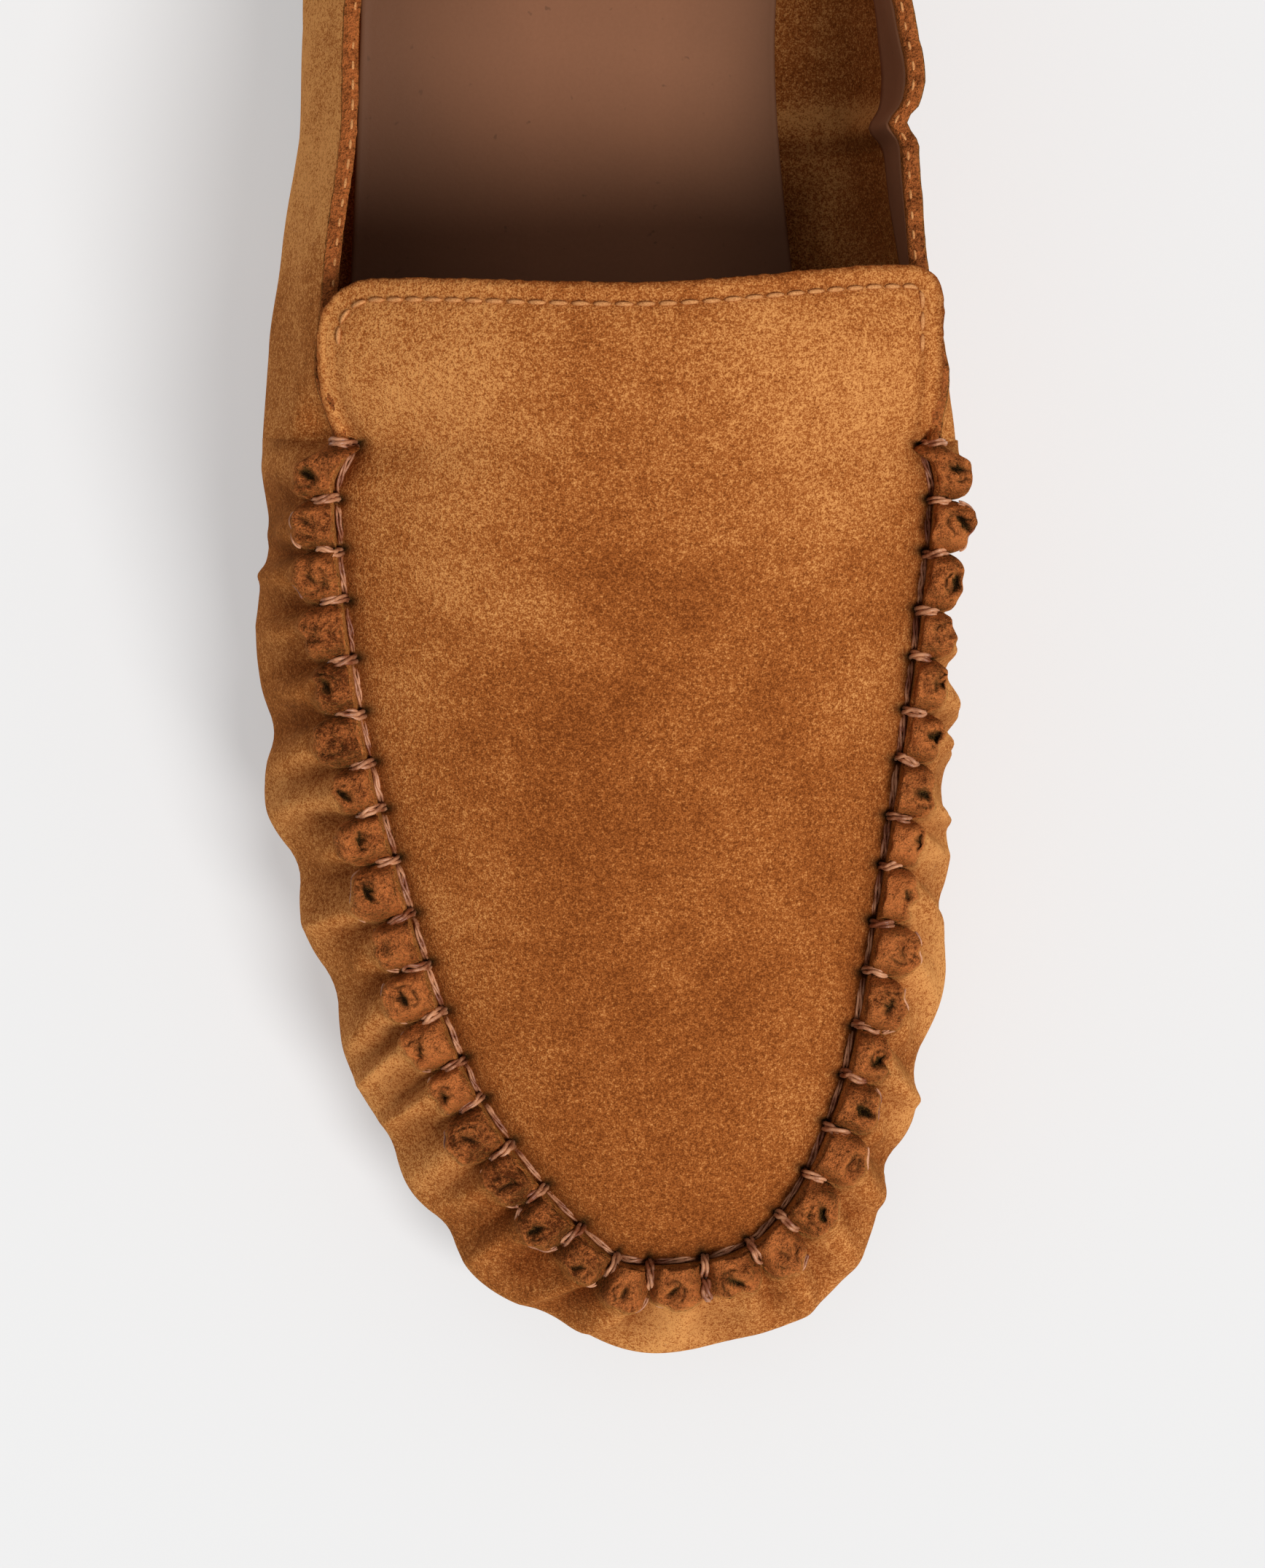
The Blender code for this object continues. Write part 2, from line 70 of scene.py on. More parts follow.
RIM_HEIGHTS = (30.0, 30.5, 34.0, 41.0, 47.0, 52.0, 53.0, 51.0, 52.0, 58.0, 64.0, 66.0)
BULGE_HEIGHTS = (15.0, 15.0, 15.5, 16.5, 17.0, 18.0, 19.0, 20.5, 23.0, 25.0, 26.0, 26.5)
SOLE_LATERAL = (
    (5.0, -119.5), (-9.0, -114.5), (-24.0, -94.5), (-36.0, -58.0), (-38.8, -33.0), (-37.8, -8.0),
    (-36.0, 13.0), (-34.6, 42.0), (-33.6, 74.0), (-30.0, 99.0), (-18.5, 116.0), (-3.0, 121.5),
)
SOLE_MEDIAL = (
    (5.0, -119.5), (19.5, -116.0), (33.0, -94.0), (37.8, -60.0), (35.0, -33.0), (30.0, -8.0),
    (26.0, 13.0), (23.5, 42.0), (25.5, 74.0), (23.0, 98.0), (12.0, 115.5), (-3.0, 121.5),
)
BULGE_LATERAL = (
    (5.5, -127.0), (-14.0, -118.9), (-29.5, -99.0), (-42.5, -60.0), (-45.2, -34.0), (-44.7, -8.0),
    (-42.8, 13.0), (-40.4, 42.0), (-38.5, 74.0), (-34.0, 100.0), (-21.0, 119.5), (-3.0, 125.4),
)
BULGE_MEDIAL = (
    (5.5, -127.0), (25.0, -122.0), (38.6, -99.0), (44.3, -62.0), (42.8, -34.0), (39.5, -8.0),
    (36.0, 13.0), (32.5, 42.0), (30.5, 74.0), (27.0, 99.0), (15.0, 119.0), (-3.0, 125.4),
)
RIM_LATERAL = (
    (7.5, -118.0), (-4.3, -114.3), (-20.9, -92.4), (-32.1, -58.0), (-36.7, -32.0), (-38.0, -10.0),
    (-35.6, 12.0), (-33.2, 40.0), (-30.6, 72.0), (-26.5, 97.0), (-15.5, 115.2), (-2.5, 120.5),
)
RIM_MEDIAL = (
    (7.5, -118.0), (22.4, -112.8), (32.9, -92.9), (39.1, -58.1), (42.6, -32.0), (44.1, -10.0),
    (40.4, 12.0), (39.2, 40.0), (32.0, 72.0), (24.5, 97.0), (12.5, 114.7), (-2.5, 120.5),
)


def closed_curve(lateral, medial, heights=None):
    points = [list(p) for p in lateral] + [list(p) for p in reversed(medial[1:-1])]
    if heights:
        for point, level in zip(points, list(heights) + list(reversed(heights[1:-1]))):
            point.append(level)
    return np.array(points)


SOLE_EDGE = closed_curve(SOLE_LATERAL, SOLE_MEDIAL)
BULGE = closed_curve(BULGE_LATERAL, BULGE_MEDIAL, BULGE_HEIGHTS)
RIM = closed_curve(RIM_LATERAL, RIM_MEDIAL, RIM_HEIGHTS)


def curve(points, stations):
    """Catmull-Rom places on a closed outline, at any number of stations."""
    place = np.asarray(stations, float) % STATIONS
    first = np.floor(place).astype(int)
    t = (place - first)[..., None]
    a, b, c, d = (points[(first + k) % STATIONS] for k in (-1, 0, 1, 2))
    return 0.5 * (2 * b + (c - a) * t + (2 * a - 5 * b + 4 * c - d) * t**2
                  + (3 * b - 3 * c + d - a) * t**3)


def smooth(low, high, value):
    t = np.clip((np.asarray(value, float) - low) / (high - low), 0.0, 1.0)
    return t * t * (3 - 2 * t)


def clearance(y):
    """Height of the outsole's underside over the ground."""
    toe = TOE_SPRING * (np.maximum(0.0, -65.0 - y) / 54.5) ** 2
    return toe + HEEL_HEIGHT * smooth(-12.0, 60.0, y)


def unit(vectors):
    return vectors / np.linalg.norm(vectors, axis=-1, keepdims=True)


def outward(points, stations):
    """Horizontal unit vectors that point out of an outline."""
    along = curve(points, stations + 0.02) - curve(points, stations - 0.02)
    return unit(np.stack([-along[..., 1], along[..., 0]], axis=-1))


def wander(x, seed, waves=6, period=1.0):
    """A smooth wavering line between about -1 and 1, the same for the same seed."""
    rng = np.random.default_rng(seed)
    total = np.zeros_like(np.asarray(x, float))
    for _ in range(waves):
        total += np.sin(2 * np.pi * (np.asarray(x) / period * rng.uniform(0.5, 1.6) + rng.random()))
    return total / waves * 1.6


def grain(points, size, seed, waves=14):
    """Bumpy values between about -1 and 1 over points in space, with bumps of a given size."""
    rng = np.random.default_rng(seed)
    total = np.zeros(points.shape[:-1])
    for _ in range(waves):
        direction = unit(rng.normal(size=3)) * 2 * np.pi / (size * rng.uniform(1.2, 3.0))
        total += np.sin(points @ direction + rng.random() * 2 * np.pi)
    return total / waves * 2.0


# ---------------------------------------------------------------- meshes

def object_of(name, mesh, material, body):
    made = bpy.data.objects.new(name, mesh)
    bpy.context.scene.collection.objects.link(made)
    mesh.materials.append(material)
    if body:
        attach(made, body)
    return made


def mesh_from(name, points, faces, marks=None):
    """A smooth-shaded mesh in metres, with named marks per point that materials read."""
    mesh = bpy.data.meshes.new(name)
    mesh.vertices.add(len(points))
    mesh.vertices.foreach_set("co", (np.asarray(points, np.float32) * MM).ravel())
    faces = np.asarray(faces, np.int32)
    sides = faces.shape[1]
    mesh.loops.add(faces.size)
    mesh.loops.foreach_set("vertex_index", faces.ravel())
    mesh.polygons.add(len(faces))
    mesh.polygons.foreach_set("loop_start", np.arange(len(faces), dtype=np.int32) * sides)
    mesh.update(calc_edges=True)
    for mark, values in (marks or {}).items():
        layer = mesh.attributes.new(mark, "FLOAT", "POINT")
        layer.data.foreach_set("value", np.asarray(values, np.float32).ravel())
    mesh.shade_smooth()
    mesh.validate()
    return mesh


def grid_faces(rows, columns, round_rows=False, round_columns=False):
    r = np.arange(rows if round_rows else rows - 1)
    c = np.arange(columns if round_columns else columns - 1)
    r, c = np.meshgrid(r, c, indexing="ij")
    r, c = r.ravel(), c.ravel()
    up, right = (r + 1) % rows, (c + 1) % columns
    return np.column_stack([r * columns + c, r * columns + right, up * columns + right, up * columns + c])


def welded(mesh, distance=1e-7):
    """Joins the points of a mesh that lie on each other, and drops the faces that collapse."""
    import bmesh
    work = bmesh.new()
    work.from_mesh(mesh)
    bmesh.ops.remove_doubles(work, verts=work.verts, dist=distance)
    bmesh.ops.dissolve_degenerate(work, edges=work.edges, dist=distance)
    bmesh.ops.recalc_face_normals(work, faces=work.faces)
    work.to_mesh(mesh)
    work.free()
    return mesh


# ---------------------------------------------------------------- gathers

def gather_ends(seed=4):
    """Stations of the 37 valleys between gathers, evenly spaced along the rim but for a hand's wavering."""
    rng = np.random.default_rng(seed)
    steps = rng.uniform(0.9, 1.12, GATHERS)
    steps[-1] = 1.1
    fine = np.linspace(-SEAM_END, SEAM_END, 2001)
    places = curve(RIM, fine)
    lengths = np.concatenate([[0], np.cumsum(np.linalg.norm(np.diff(places, axis=0), axis=1))])
    wanted = np.concatenate([[0], np.cumsum(steps)]) / steps.sum() * lengths[-1]
    return np.interp(wanted, lengths, fine)


VALLEYS = gather_ends()


def gather_number(stations):
    """0 at the seam's medial end to 36 at its lateral end, and held beyond them."""
    return np.interp(stations, VALLEYS, np.arange(GATHERS + 1))


def per_gather(numbers, low, high, seed):
    """A random value for each gather, looked up for gather numbers."""
    values = np.random.default_rng(seed).uniform(low, high, GATHERS + 1)
    return values[np.clip(np.floor(numbers).astype(int), 0, GATHERS - 1)]


def in_seam(stations):
    return (np.abs(stations) < SEAM_END).astype(float)


# ---------------------------------------------------------------- the wrap

EDGE_START = 0.25
MEDIAL_VALLEY, LATERAL_VALLEY = 2.9, 3.4
MEDIAL_CREST, TOE_CREST, LATERAL_CREST = 4.8, 5.7, 6.0
EDGE_SINK = 2.0
# Broad folds under the loops: the gather number of each crease or swell, and how far it stands out.
FOLD_PLACES = (0, 2.0, 4.0, 6.2, 7.4, 8.2, 9.4, 10.9, 11.8, 12.8, 14.2, 16.7, 17.9, 18.8, 20.0, 21.3, 22.3, 23.4,
               25.0, 26.3, 27.3, 28.3, 29.5, 31.0, 32.6, 34.4, 36)
FOLD_SWELLS = (-0.6, -1.4, -1.0, -2.0, -0.4, -1.8, 0.8, -2.1, 0.1, -2.4, 0.7, -1.4, 0.1, -1.5, 1.1, -1.5, 0.3, -1.1,
               0.6, -1.7, 0.6, -1.7, 1.4, -1.5, 0.8, -1.5, 0.0)
TOPLINE_EDGE = 2.3
PIT_AT = 3.9


def wall(stations, heights):
    """The smooth outer face of the upper. Heights run from 0 at the sole to 1 at the rim, one row each,
    or one value for each row and station."""
    sole = curve(SOLE_EDGE, stations)
    low = np.column_stack([sole, clearance(sole[:, 1]) + WRAP_FLOOR + SUEDE])
    middle, high = curve(BULGE, stations), curve(RIM, stations)
    t = BULGE_AT
    handle = (middle - (1 - t) ** 2 * low - t**2 * high) / (2 * t * (1 - t))
    v = np.asarray(heights, float)
    v = v[:, None, None] if v.ndim == 1 else v[..., None]
    return (1 - v) ** 2 * low + 2 * v * (1 - v) * handle + v**2 * high


def wall_normals(stations, heights):
    around = wall(stations + 0.03, heights) - wall(stations - 0.03, heights)
    upward = wall(stations, heights + 0.01) - wall(stations, heights - 0.01)
    return unit(np.cross(upward, around))


def seam_inset(stations):
    """How far the groove lies inside the rim outline: the line hooks inward at its last stitches."""
    hook = np.where(np.asarray(stations) > 0, 2.4, 1.1)
    return SEAM_INSET + hook * smooth(4.72, 5.0, np.abs(stations))


def leaning(numbers):
    """Gather numbers whose crests lean to one side or the other."""
    lean = per_gather(numbers, -0.26, 0.26, 7)
    return numbers + lean * np.sin(np.pi * numbers) ** 2


def notch(numbers, width):
    """1 where a stitch pulls the loops apart, 0 away from it; width is a share of a gather."""
    return np.exp(-((numbers - np.round(numbers)) / width) ** 2)


def crest_profile(numbers, power):
    share = leaning(numbers) % 1.0
    return np.clip(1 - np.abs(2 * share - 1) ** power, 0, 1) ** (1 / power)


def lobe_reach(numbers):
    """Distance from the groove to the outer edge of the gathers' loops."""
    crest = np.interp(numbers, (0, GATHERS / 2, GATHERS), (MEDIAL_CREST, TOE_CREST, LATERAL_CREST))
    valley = np.interp(numbers, (0, GATHERS / 2), (MEDIAL_VALLEY, LATERAL_VALLEY))
    swell = crest * per_gather(numbers, 0.80, 1.13, 5) - valley
    uneven = 0.4 * wander(numbers, 14, period=0.55) * np.sin(np.pi * numbers) ** 2
    return valley + swell * crest_profile(numbers, 1.8) ** 0.8 - 0.8 * notch(numbers, 0.08) + uneven


def waving(x, places, values):
    """A line through given values, round at its high places and sharp at its low ones."""
    first = np.clip(np.searchsorted(places, x, side="right") - 1, 0, len(places) - 2)
    places, values = np.array(places), np.array(values)
    turn = np.clip((x - places[first]) / (places[first + 1] - places[first]), 0, 1) * np.pi / 2
    share = np.where(values[first + 1] > values[first], np.sin(turn), 1 - np.cos(turn))
    return values[first] + (values[first + 1] - values[first]) * share


def fold_fields(number, v):
    """The ridge under each loop, its strength, and the broad folds, at gather numbers and heights."""
    drift = 0.5 * wander(number, 11, period=7.0) * smooth(0.95, 0.4, v)
    moved = number + drift
    ridge = np.sin(np.pi * leaning(moved)) ** 2
    strength = per_gather(moved, 0.2, 1.3, 6)
    broad = sum(waving(number + aside, FOLD_PLACES, FOLD_SWELLS) for aside in (-0.3, -0.15, 0.0, 0.15, 0.3)) / 5
    return ridge, strength, broad


def folds(stations, heights):
    """How far the wall swells out of its smooth face: loops at the rim that run into soft folds."""
    number = gather_number(stations)
    v = heights[:, None]
    ridge, strength, broad = fold_fields(number, v)
    levels = (0.0, 0.12, 0.42, 0.70, 0.90, 1.0)
    fields = (
        np.zeros_like(ridge), 0.4 * broad + 0 * v, broad + 0 * v, 0.8 * broad + 1.7 * ridge * strength - 1.0,
        2.7 * ridge ** 0.7 * (0.6 + 0.4 * strength) - 1.6,
    )
    total = 0
    for k, field in enumerate(fields):
        rising = smooth(levels[k - 1], levels[k], v) if k else 1.0
        total = total + field * np.minimum(rising, smooth(levels[k + 1], levels[k], v))
    total = total * smooth(0.0, 1.2, number) * smooth(0.0, 1.2, GATHERS - number)
    last = smooth(0.0, 0.4, number) * smooth(0.0, 0.4, GATHERS - number)
    rim = (lobe_reach(number) - seam_inset(stations)) * last + seam_end_swell(stations) * (1 - last)
    return total + rim * smooth(levels[-2], 1.0, v)


def seam_end_swell(stations):
    """Where the rim stands at the last stitch of the side that a station is on."""
    side = np.where(np.asarray(stations) > 0, 1.0, -1.0)
    return lobe_reach(gather_number(side * SEAM_END)) - seam_inset(side * SEAM_END)


def quarter_waves(stations, heights):
    """The soft unevenness of the quarters, the buckle on the medial side, and the way the topline
    runs out from under the tongue."""
    v = np.asarray(heights, float)
    v = v[:, None] if v.ndim == 1 else v
    length = curve(RIM, stations)[:, 1]
    away = 1 - in_seam(stations)
    soft = 0.5 * wander(length, 21, period=42.0) * smooth(0.2, 0.6, v)
    ripple = np.sin(2 * np.pi * (2.1 * v + 0.35 * wander(length, 22, period=60.0)))
    soft = soft + 0.34 * ripple * smooth(0.35, 0.6, v) * smooth(1.0, 0.85, v) * smooth(100.0, 60.0, length)
    buckle = -1.6 * np.exp(-((length - 30.0) / 1.7) ** 2) * (stations < 0)
    flank = 0.7 * np.exp(-((length - 36.0) / 4.0) ** 2) * (stations < 0)
    start = seam_end_swell(stations) * smooth(5.45, 5.0, np.abs(stations))
    drawn_in = -0.8 * smooth(2.0, 14.0, length) * smooth(80.0, 50.0, length)
    drawn_in = drawn_in * np.where(stations < 0, smooth(0.1, 0.5, v), smooth(0.1, 0.4, v) * smooth(1.0, 0.6, v))
    return away * (soft + drawn_in + (buckle + flank) * smooth(0.3, 0.6, v) + start * smooth(0.9, 1.0, v))


def wrap_columns():
    """Stations round the whole shoe, closest together in the notches between the gathers."""
    t = np.linspace(0, 1, 28, endpoint=False)
    t = 0.4 * t + 0.6 * (0.5 - 0.5 * np.cos(np.pi * t))
    seam_part = np.concatenate([a + (b - a) * t for a, b in zip(VALLEYS, VALLEYS[1:])])
    rest = np.linspace(SEAM_END, STATIONS - SEAM_END, 340, endpoint=False)
    return np.concatenate([seam_part, rest])


OUTER_HEIGHTS = np.concatenate([np.linspace(0.0, 0.75, 17), np.linspace(0.78, 1.0, 15)])
INNER_HEIGHTS = np.concatenate([np.linspace(0.985, 0.86, 6), np.linspace(0.78, 0.04, 9)])
EDGE_SHARES = np.linspace(0.0, 1.0, 14)[1:-1] ** 0.9


def centred(stations):
    return (stations + HEEL) % STATIONS - HEEL


def slits(along, out, number):
    """Crooked slits in the middle of each loop's cut edge, and the crease of a turn of leather round
    them; both are 1 where they are deepest."""
    a = along - per_gather(number, -0.5, 0.5, 83)
    n = out - PIT_AT - per_gather(number, -0.5, 0.4, 85)
    depth = 0
    for seed, length, width in ((81, 1.4, 0.5), (82, 0.9, 0.42)):
        turn = per_gather(number, 0, np.pi, seed)
        u, w = a * np.cos(turn) + n * np.sin(turn), n * np.cos(turn) - a * np.sin(turn)
        depth = np.maximum(depth, np.exp(-((u / length) ** 4 + (w / width) ** 2)))
    crease = np.exp(-((np.hypot(a, n) - per_gather(number, 1.3, 1.9, 87)) / 0.22) ** 2)
    crease = crease * smooth(-0.4, 0.4, np.cos(np.arctan2(n, a) - per_gather(number, 0, 6.28, 88)))
    return depth * per_gather(number, 0.45, 1.3, 89), crease


def wrap_points():
    stations = centred(wrap_columns())
    out2 = outward(RIM, stations)
    out3 = np.column_stack([out2, np.zeros(len(out2))])
    number = gather_number(stations)
    seam_part = in_seam(stations)
    outer_wall = wall(stations, OUTER_HEIGHTS)
    near_rim = smooth(0.72, 0.95, OUTER_HEIGHTS)[:, None, None] * seam_part[:, None]
    direction = unit(wall_normals(stations, OUTER_HEIGHTS) * (1 - near_rim) + out3 * near_rim)
    swell = folds(stations, OUTER_HEIGHTS) * seam_part + quarter_waves(stations, OUTER_HEIGHTS)
    outer = outer_wall + direction * swell[..., None]

    join = smooth(5.0, 5.2, np.abs(stations))
    at_valley = lobe_reach(0.0 * number) - EDGE_START
    thickness = np.where(seam_part > 0, lobe_reach(number) - EDGE_START,
                         at_valley + (TOPLINE_EDGE - at_valley) * join)
    inner_face = -SUEDE + folds(stations, INNER_HEIGHTS) * seam_part + quarter_waves(stations, INNER_HEIGHTS)
    at_rim = swell[-1] - thickness
    near = smooth(0.82, 0.985, INNER_HEIGHTS)[:, None]
    inner = wall(stations, INNER_HEIGHTS) + np.where(near[..., None] > 0.5, out3, wall_normals(
        stations, INNER_HEIGHTS)) * (inner_face * (1 - near) + at_rim * near)[..., None]

    crest = np.sin(np.pi * number) ** 2
    lift = 0.3 - (EDGE_SINK + 0.3) * notch(number, 0.15) + 0.4 * crest * per_gather(number, -1, 1, 8)
    lift = np.where(seam_part > 0, lift, -EDGE_SINK * smooth(5.3, 5.0, np.abs(stations)))
    outer[..., 2] += lift * smooth(0.84, 1.0, OUTER_HEIGHTS)[:, None]
    inner[..., 2] += lift * smooth(0.84, 1.0, INNER_HEIGHTS)[:, None]

    start = outer[-1]
    end = curve(RIM, stations) + out3 * at_rim[:, None]
    end[:, 2] += lift
    share = EDGE_SHARES[:, None, None]
    edge = start + (end - start) * share
    edge[..., 2] += (1 - np.abs(2 * EDGE_SHARES - 1) ** 2.2)[:, None] * (0.42 + 0.5 * crest * seam_part)
    lengths = np.interp(stations, *rim_lengths())
    middles = np.interp(VALLEYS[:-1] * 0.5 + VALLEYS[1:] * 0.5, *rim_lengths())
    along = lengths - middles[np.clip(np.floor(number).astype(int), 0, GATHERS - 1)]
    reach = swell[-1] + seam_inset(stations)
    out = reach - thickness * EDGE_SHARES[:, None]
    pit, crease = slits(along, out, number)
    tilt = per_gather(number, -0.28, 0.28, 91) * along + per_gather(number, -0.3, 0.22, 92) * (out - PIT_AT)
    edge[..., 2] += (tilt * crest - 1.6 * pit - 0.7 * crease) * seam_part
    # From here pit also takes in the creases round the slits and the notches between loops, as the mask of painted
    # shade in them.
    pit = np.maximum(np.maximum(pit, 0.62 * crease), 0.75 * notch(number, 0.05)) * seam_part

    rim = np.concatenate([outer[-3:], edge, inner[:2]])
    fade = np.concatenate([[0.4, 0.7, 0.9], np.ones(len(EDGE_SHARES)), [0.6, 0.3]])[:, None]
    strength = (0.45 + 0.55 * seam_part) * fade
    rough = grain(rim, 0.95, 31) * 0.3 + grain(rim, 1.9, 32) * 0.55 * seam_part + grain(rim, 0.5, 34) * 0.16
    rim[..., 2] += rough * strength
    rim += out3 * ((grain(rim, 1.0, 33) * 0.24 + grain(rim, 2.4, 35) * 0.34 * seam_part) * strength)[..., None]
    count = len(EDGE_SHARES)
    outer[-3:], edge, inner[:2] = rim[:3], rim[3:3 + count], rim[3 + count:]

    margin = []
    for share in (0.93, 0.8):
        sole = curve(SOLE_EDGE, stations)
        centre = np.column_stack([np.full(len(sole), -1.0), np.clip(sole[:, 1], -95, 95)])
        place = centre + (sole - centre) * share
        base = clearance(place[:, 1]) + WRAP_FLOOR
        margin.append((np.column_stack([place, base]), np.column_stack([place, base + SUEDE])))
    under = [margin[1][0], margin[0][0]]
    above = [margin[0][1], margin[1][1]]
    rows = np.concatenate([np.array(under), outer, edge, inner, np.array(above)])
    return stations, rows, pit


def rim_lengths():
    """Stations and the length of rim up to them, for places along the seam."""
    fine = np.linspace(-SEAM_END - 1, SEAM_END + 1, 2401)
    steps = np.linalg.norm(np.diff(curve(RIM, fine), axis=0), axis=1)
    return fine, np.concatenate([[0], np.cumsum(steps)])


# Painted light and shade round the shoe, by station: how much lighter or darker the wrap's suede is made there.
PAINTED_LIGHT_STATIONS = (-11, -6, -3.5, -2.6, -2.2, -1.5, -0.6, 0, 0.5, 1.1, 2.1, 2.8, 3.7, 4.8, 5.7, 6.4, 11)
PAINTED_LIGHT_LEVELS = (0.1, 0.4, 1.0, 1.2, 0.8, 0.0, 0.7, 1.3, 0.3, -1.2, 0.9, 0.5, -0.8, -0.1, 0.1, 1.4, 0.3)


def wrap_marks(stations, rows, pit):
    """raw: how much of the cut edge shows. shade: painted shade under and between the loops, in the folds' creases
    and on the inner face, with the darker colour of the topline's cut edge. tone: painted light and shade by station,
    on the swells of the folds and on the inner face, with random tone. hole: painted shade in the slits and notches."""
    count = len(rows)
    first = 2 + len(OUTER_HEIGHTS)
    last = first + len(EDGE_SHARES)
    raw = np.zeros((count, len(stations)))
    raw[first - 3:first] = np.array([0.15, 0.5, 0.85])[:, None]
    raw[first:last] = 1.0
    raw[last:last + 2] = np.array([0.9, 0.6])[:, None]
    seam_part = in_seam(stations)
    raw[:first] *= 0.5 + 0.5 * seam_part
    number = gather_number(stations)
    gap = notch(number, 0.16)
    heights = np.concatenate([[0, 0], OUTER_HEIGHTS, np.ones(last - first), np.full(len(INNER_HEIGHTS) + 2, 2.0)])
    near = np.exp(-((heights - 0.94) / 0.07) ** 2)[:, None]
    # Painted shade under the loops' overhang, deepest in the notches between them.
    shade = near * (0.3 + 0.7 * gap) * seam_part
    # Painted shade in the notches between the loops' cut edges; on the quarters, the darker colour of the topline's cut
    # edge.
    shade[first:last] += 0.75 * notch(number, 0.2) * seam_part + 0.5 * (1 - seam_part)
    v = np.concatenate([[0, 0], OUTER_HEIGHTS])[:, None]
    ridge, strength, broad = fold_fields(number, v)
    # Painted shade in the creases between the ridges under the loops, deeper on the lateral side, and in the creases of
    # the broad folds.
    crease = (1 - ridge) ** 1.3 * (0.7 + 0.4 * strength) * np.exp(-((v - 0.84) / 0.15) ** 2)
    crease *= np.where(stations > 0, 1.0, 0.7)
    crease += 0.5 * smooth(-0.3, -1.6, broad) * np.exp(-((v - 0.62) / 0.2) ** 2)
    shade[:first] = np.maximum(shade[:first], crease * seam_part)
    # Painted shade on the inner face within the seam.
    shade = np.where((heights == 2.0)[:, None], 0.85 * seam_part, shade)
    # Painted light and shade by station, lighter or darker round the shoe; random tone is added below.
    tone = np.zeros_like(raw) + np.interp(stations, PAINTED_LIGHT_STATIONS, PAINTED_LIGHT_LEVELS)
    # Painted light on the inner face.
    tone[last:] = 0.35
    tone += 0.25 * grain(rows, 14.0, 36)
    tone[first:last] += per_gather(number, -1.3, 1.3, 95) * seam_part
    length = curve(RIM, stations)[:, 1]
    # Painted shade in the buckle's crease on the inner medial face, and a painted highlight on the roll beside it.
    shade[last + 2:] += 0.8 * np.exp(-((length - 28.4) / 0.9) ** 2) * (stations < 0)
    tone[last + 2:] += 1.4 * np.exp(-((length - 32.0) / 1.8) ** 2) * (stations < 0)
    # Painted highlight on the swells of the broad folds, and painted shade in their hollows.
    tone[:first] += 0.4 * (broad + 0.4) * seam_part * smooth(0.2, 0.5, v)
    hole = np.zeros_like(raw)
    # Painted shade in the slits, the creases round them and the notches.
    hole[first:last] = smooth(0.25, 0.75, pit)
    return {"raw": raw, "shade": shade, "tone": tone, "hole": hole}


def make_wrap():
    stations, rows, pit = wrap_points()
    faces = grid_faces(len(rows), len(stations), round_rows=True, round_columns=True)
    mesh = mesh_from("wrap_suede", rows.reshape(-1, 3), faces[:, ::-1], wrap_marks(stations, rows, pit))
    made = object_of("wrap_suede", mesh, suede("suede_wrap", streak=0.45), "shoe")
    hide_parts("moccasin_wrap")
    return made


# ---------------------------------------------------------------- apron and tongue

TOE_END_Y = -114.7
CROWN_START = (-88.0, 38.5)
CROWN_BEND = (-10.0, 66.0)
TONGUE_END = 9.6
APRON_SUEDE = 1.3


def seam_line(stations, inset=0.0):
    """The groove where apron and turned-up strip meet, at the height of the groove's foot."""
    places = curve(RIM, stations)
    places[..., :2] -= outward(RIM, stations) * (seam_inset(stations) + inset)[..., None]
    places[..., 2] -= STRIP_HEIGHT
    return places


def side_lines():
    """For each side, the y, x and height of the apron's edge from toe to tongue end."""
    sides = []
    for sign, root, flare_x in ((-1, 40.9, 41.9), (1, -34.6, -36.1)):
        line = seam_line(sign * np.linspace(0.0, SEAM_END, 400))
        last = line[-1]
        tongue_y = np.linspace(last[1] + 1.5, TONGUE_END + 4, 30)
        tongue_x = last[0] + (flare_x - last[0]) * smooth(last[1] - 2, 0.0, tongue_y)
        tongue_z = last[2] + 7.0 * smooth(last[1] - 6, 6.0, tongue_y)
        y = np.concatenate([line[:, 1], tongue_y])
        order = np.argsort(y)
        sides.append([a[order] for a in (y, np.concatenate([line[:, 0], tongue_x]),
                                         np.concatenate([line[:, 2], tongue_z]))])
    return sides


MEDIAL_SIDE, LATERAL_SIDE = side_lines()


def hermite(y, start, end, slope_start, slope_end):
    run = end[0] - start[0]
    t = np.clip((y - start[0]) / run, 0, 1)
    return ((2 * t**3 - 3 * t**2 + 1) * start[1] + (t**3 - 2 * t**2 + t) * run * slope_start
            + (-2 * t**3 + 3 * t**2) * end[1] + (t**3 - t**2) * run * slope_end)


def crown(y):
    """Height of the apron's middle line from the toe to the tongue's end."""
    toe = (TOE_END_Y, 27.3)
    top = (4.0, 69.6)
    climb = (CROWN_BEND[1] - CROWN_START[1]) / (CROWN_BEND[0] - CROWN_START[0])
    low = hermite(y, toe, CROWN_START, 0.85, climb)
    middle = CROWN_START[1] + climb * (y - CROWN_START[0])
    high = hermite(y, CROWN_BEND, top, climb, 0.0)
    return np.where(y < CROWN_START[0], low, np.where(y < CROWN_BEND[0], middle, high))


def apron_height(x, y):
    """Height of the apron's upper face over the plan."""
    right = np.interp(y, MEDIAL_SIDE[0], MEDIAL_SIDE[1])
    left = np.interp(y, LATERAL_SIDE[0], LATERAL_SIDE[1])
    right_z = np.interp(y, MEDIAL_SIDE[0], MEDIAL_SIDE[2])
    left_z = np.interp(y, LATERAL_SIDE[0], LATERAL_SIDE[2])
    share = np.clip((x - left) / np.maximum(right - left, 1e-3), 0, 1)
    edge = left_z + (right_z - left_z) * share
    dome = 1 - np.abs(2 * share - 1) ** 2.2
    return edge + (crown(y) - edge) * dome


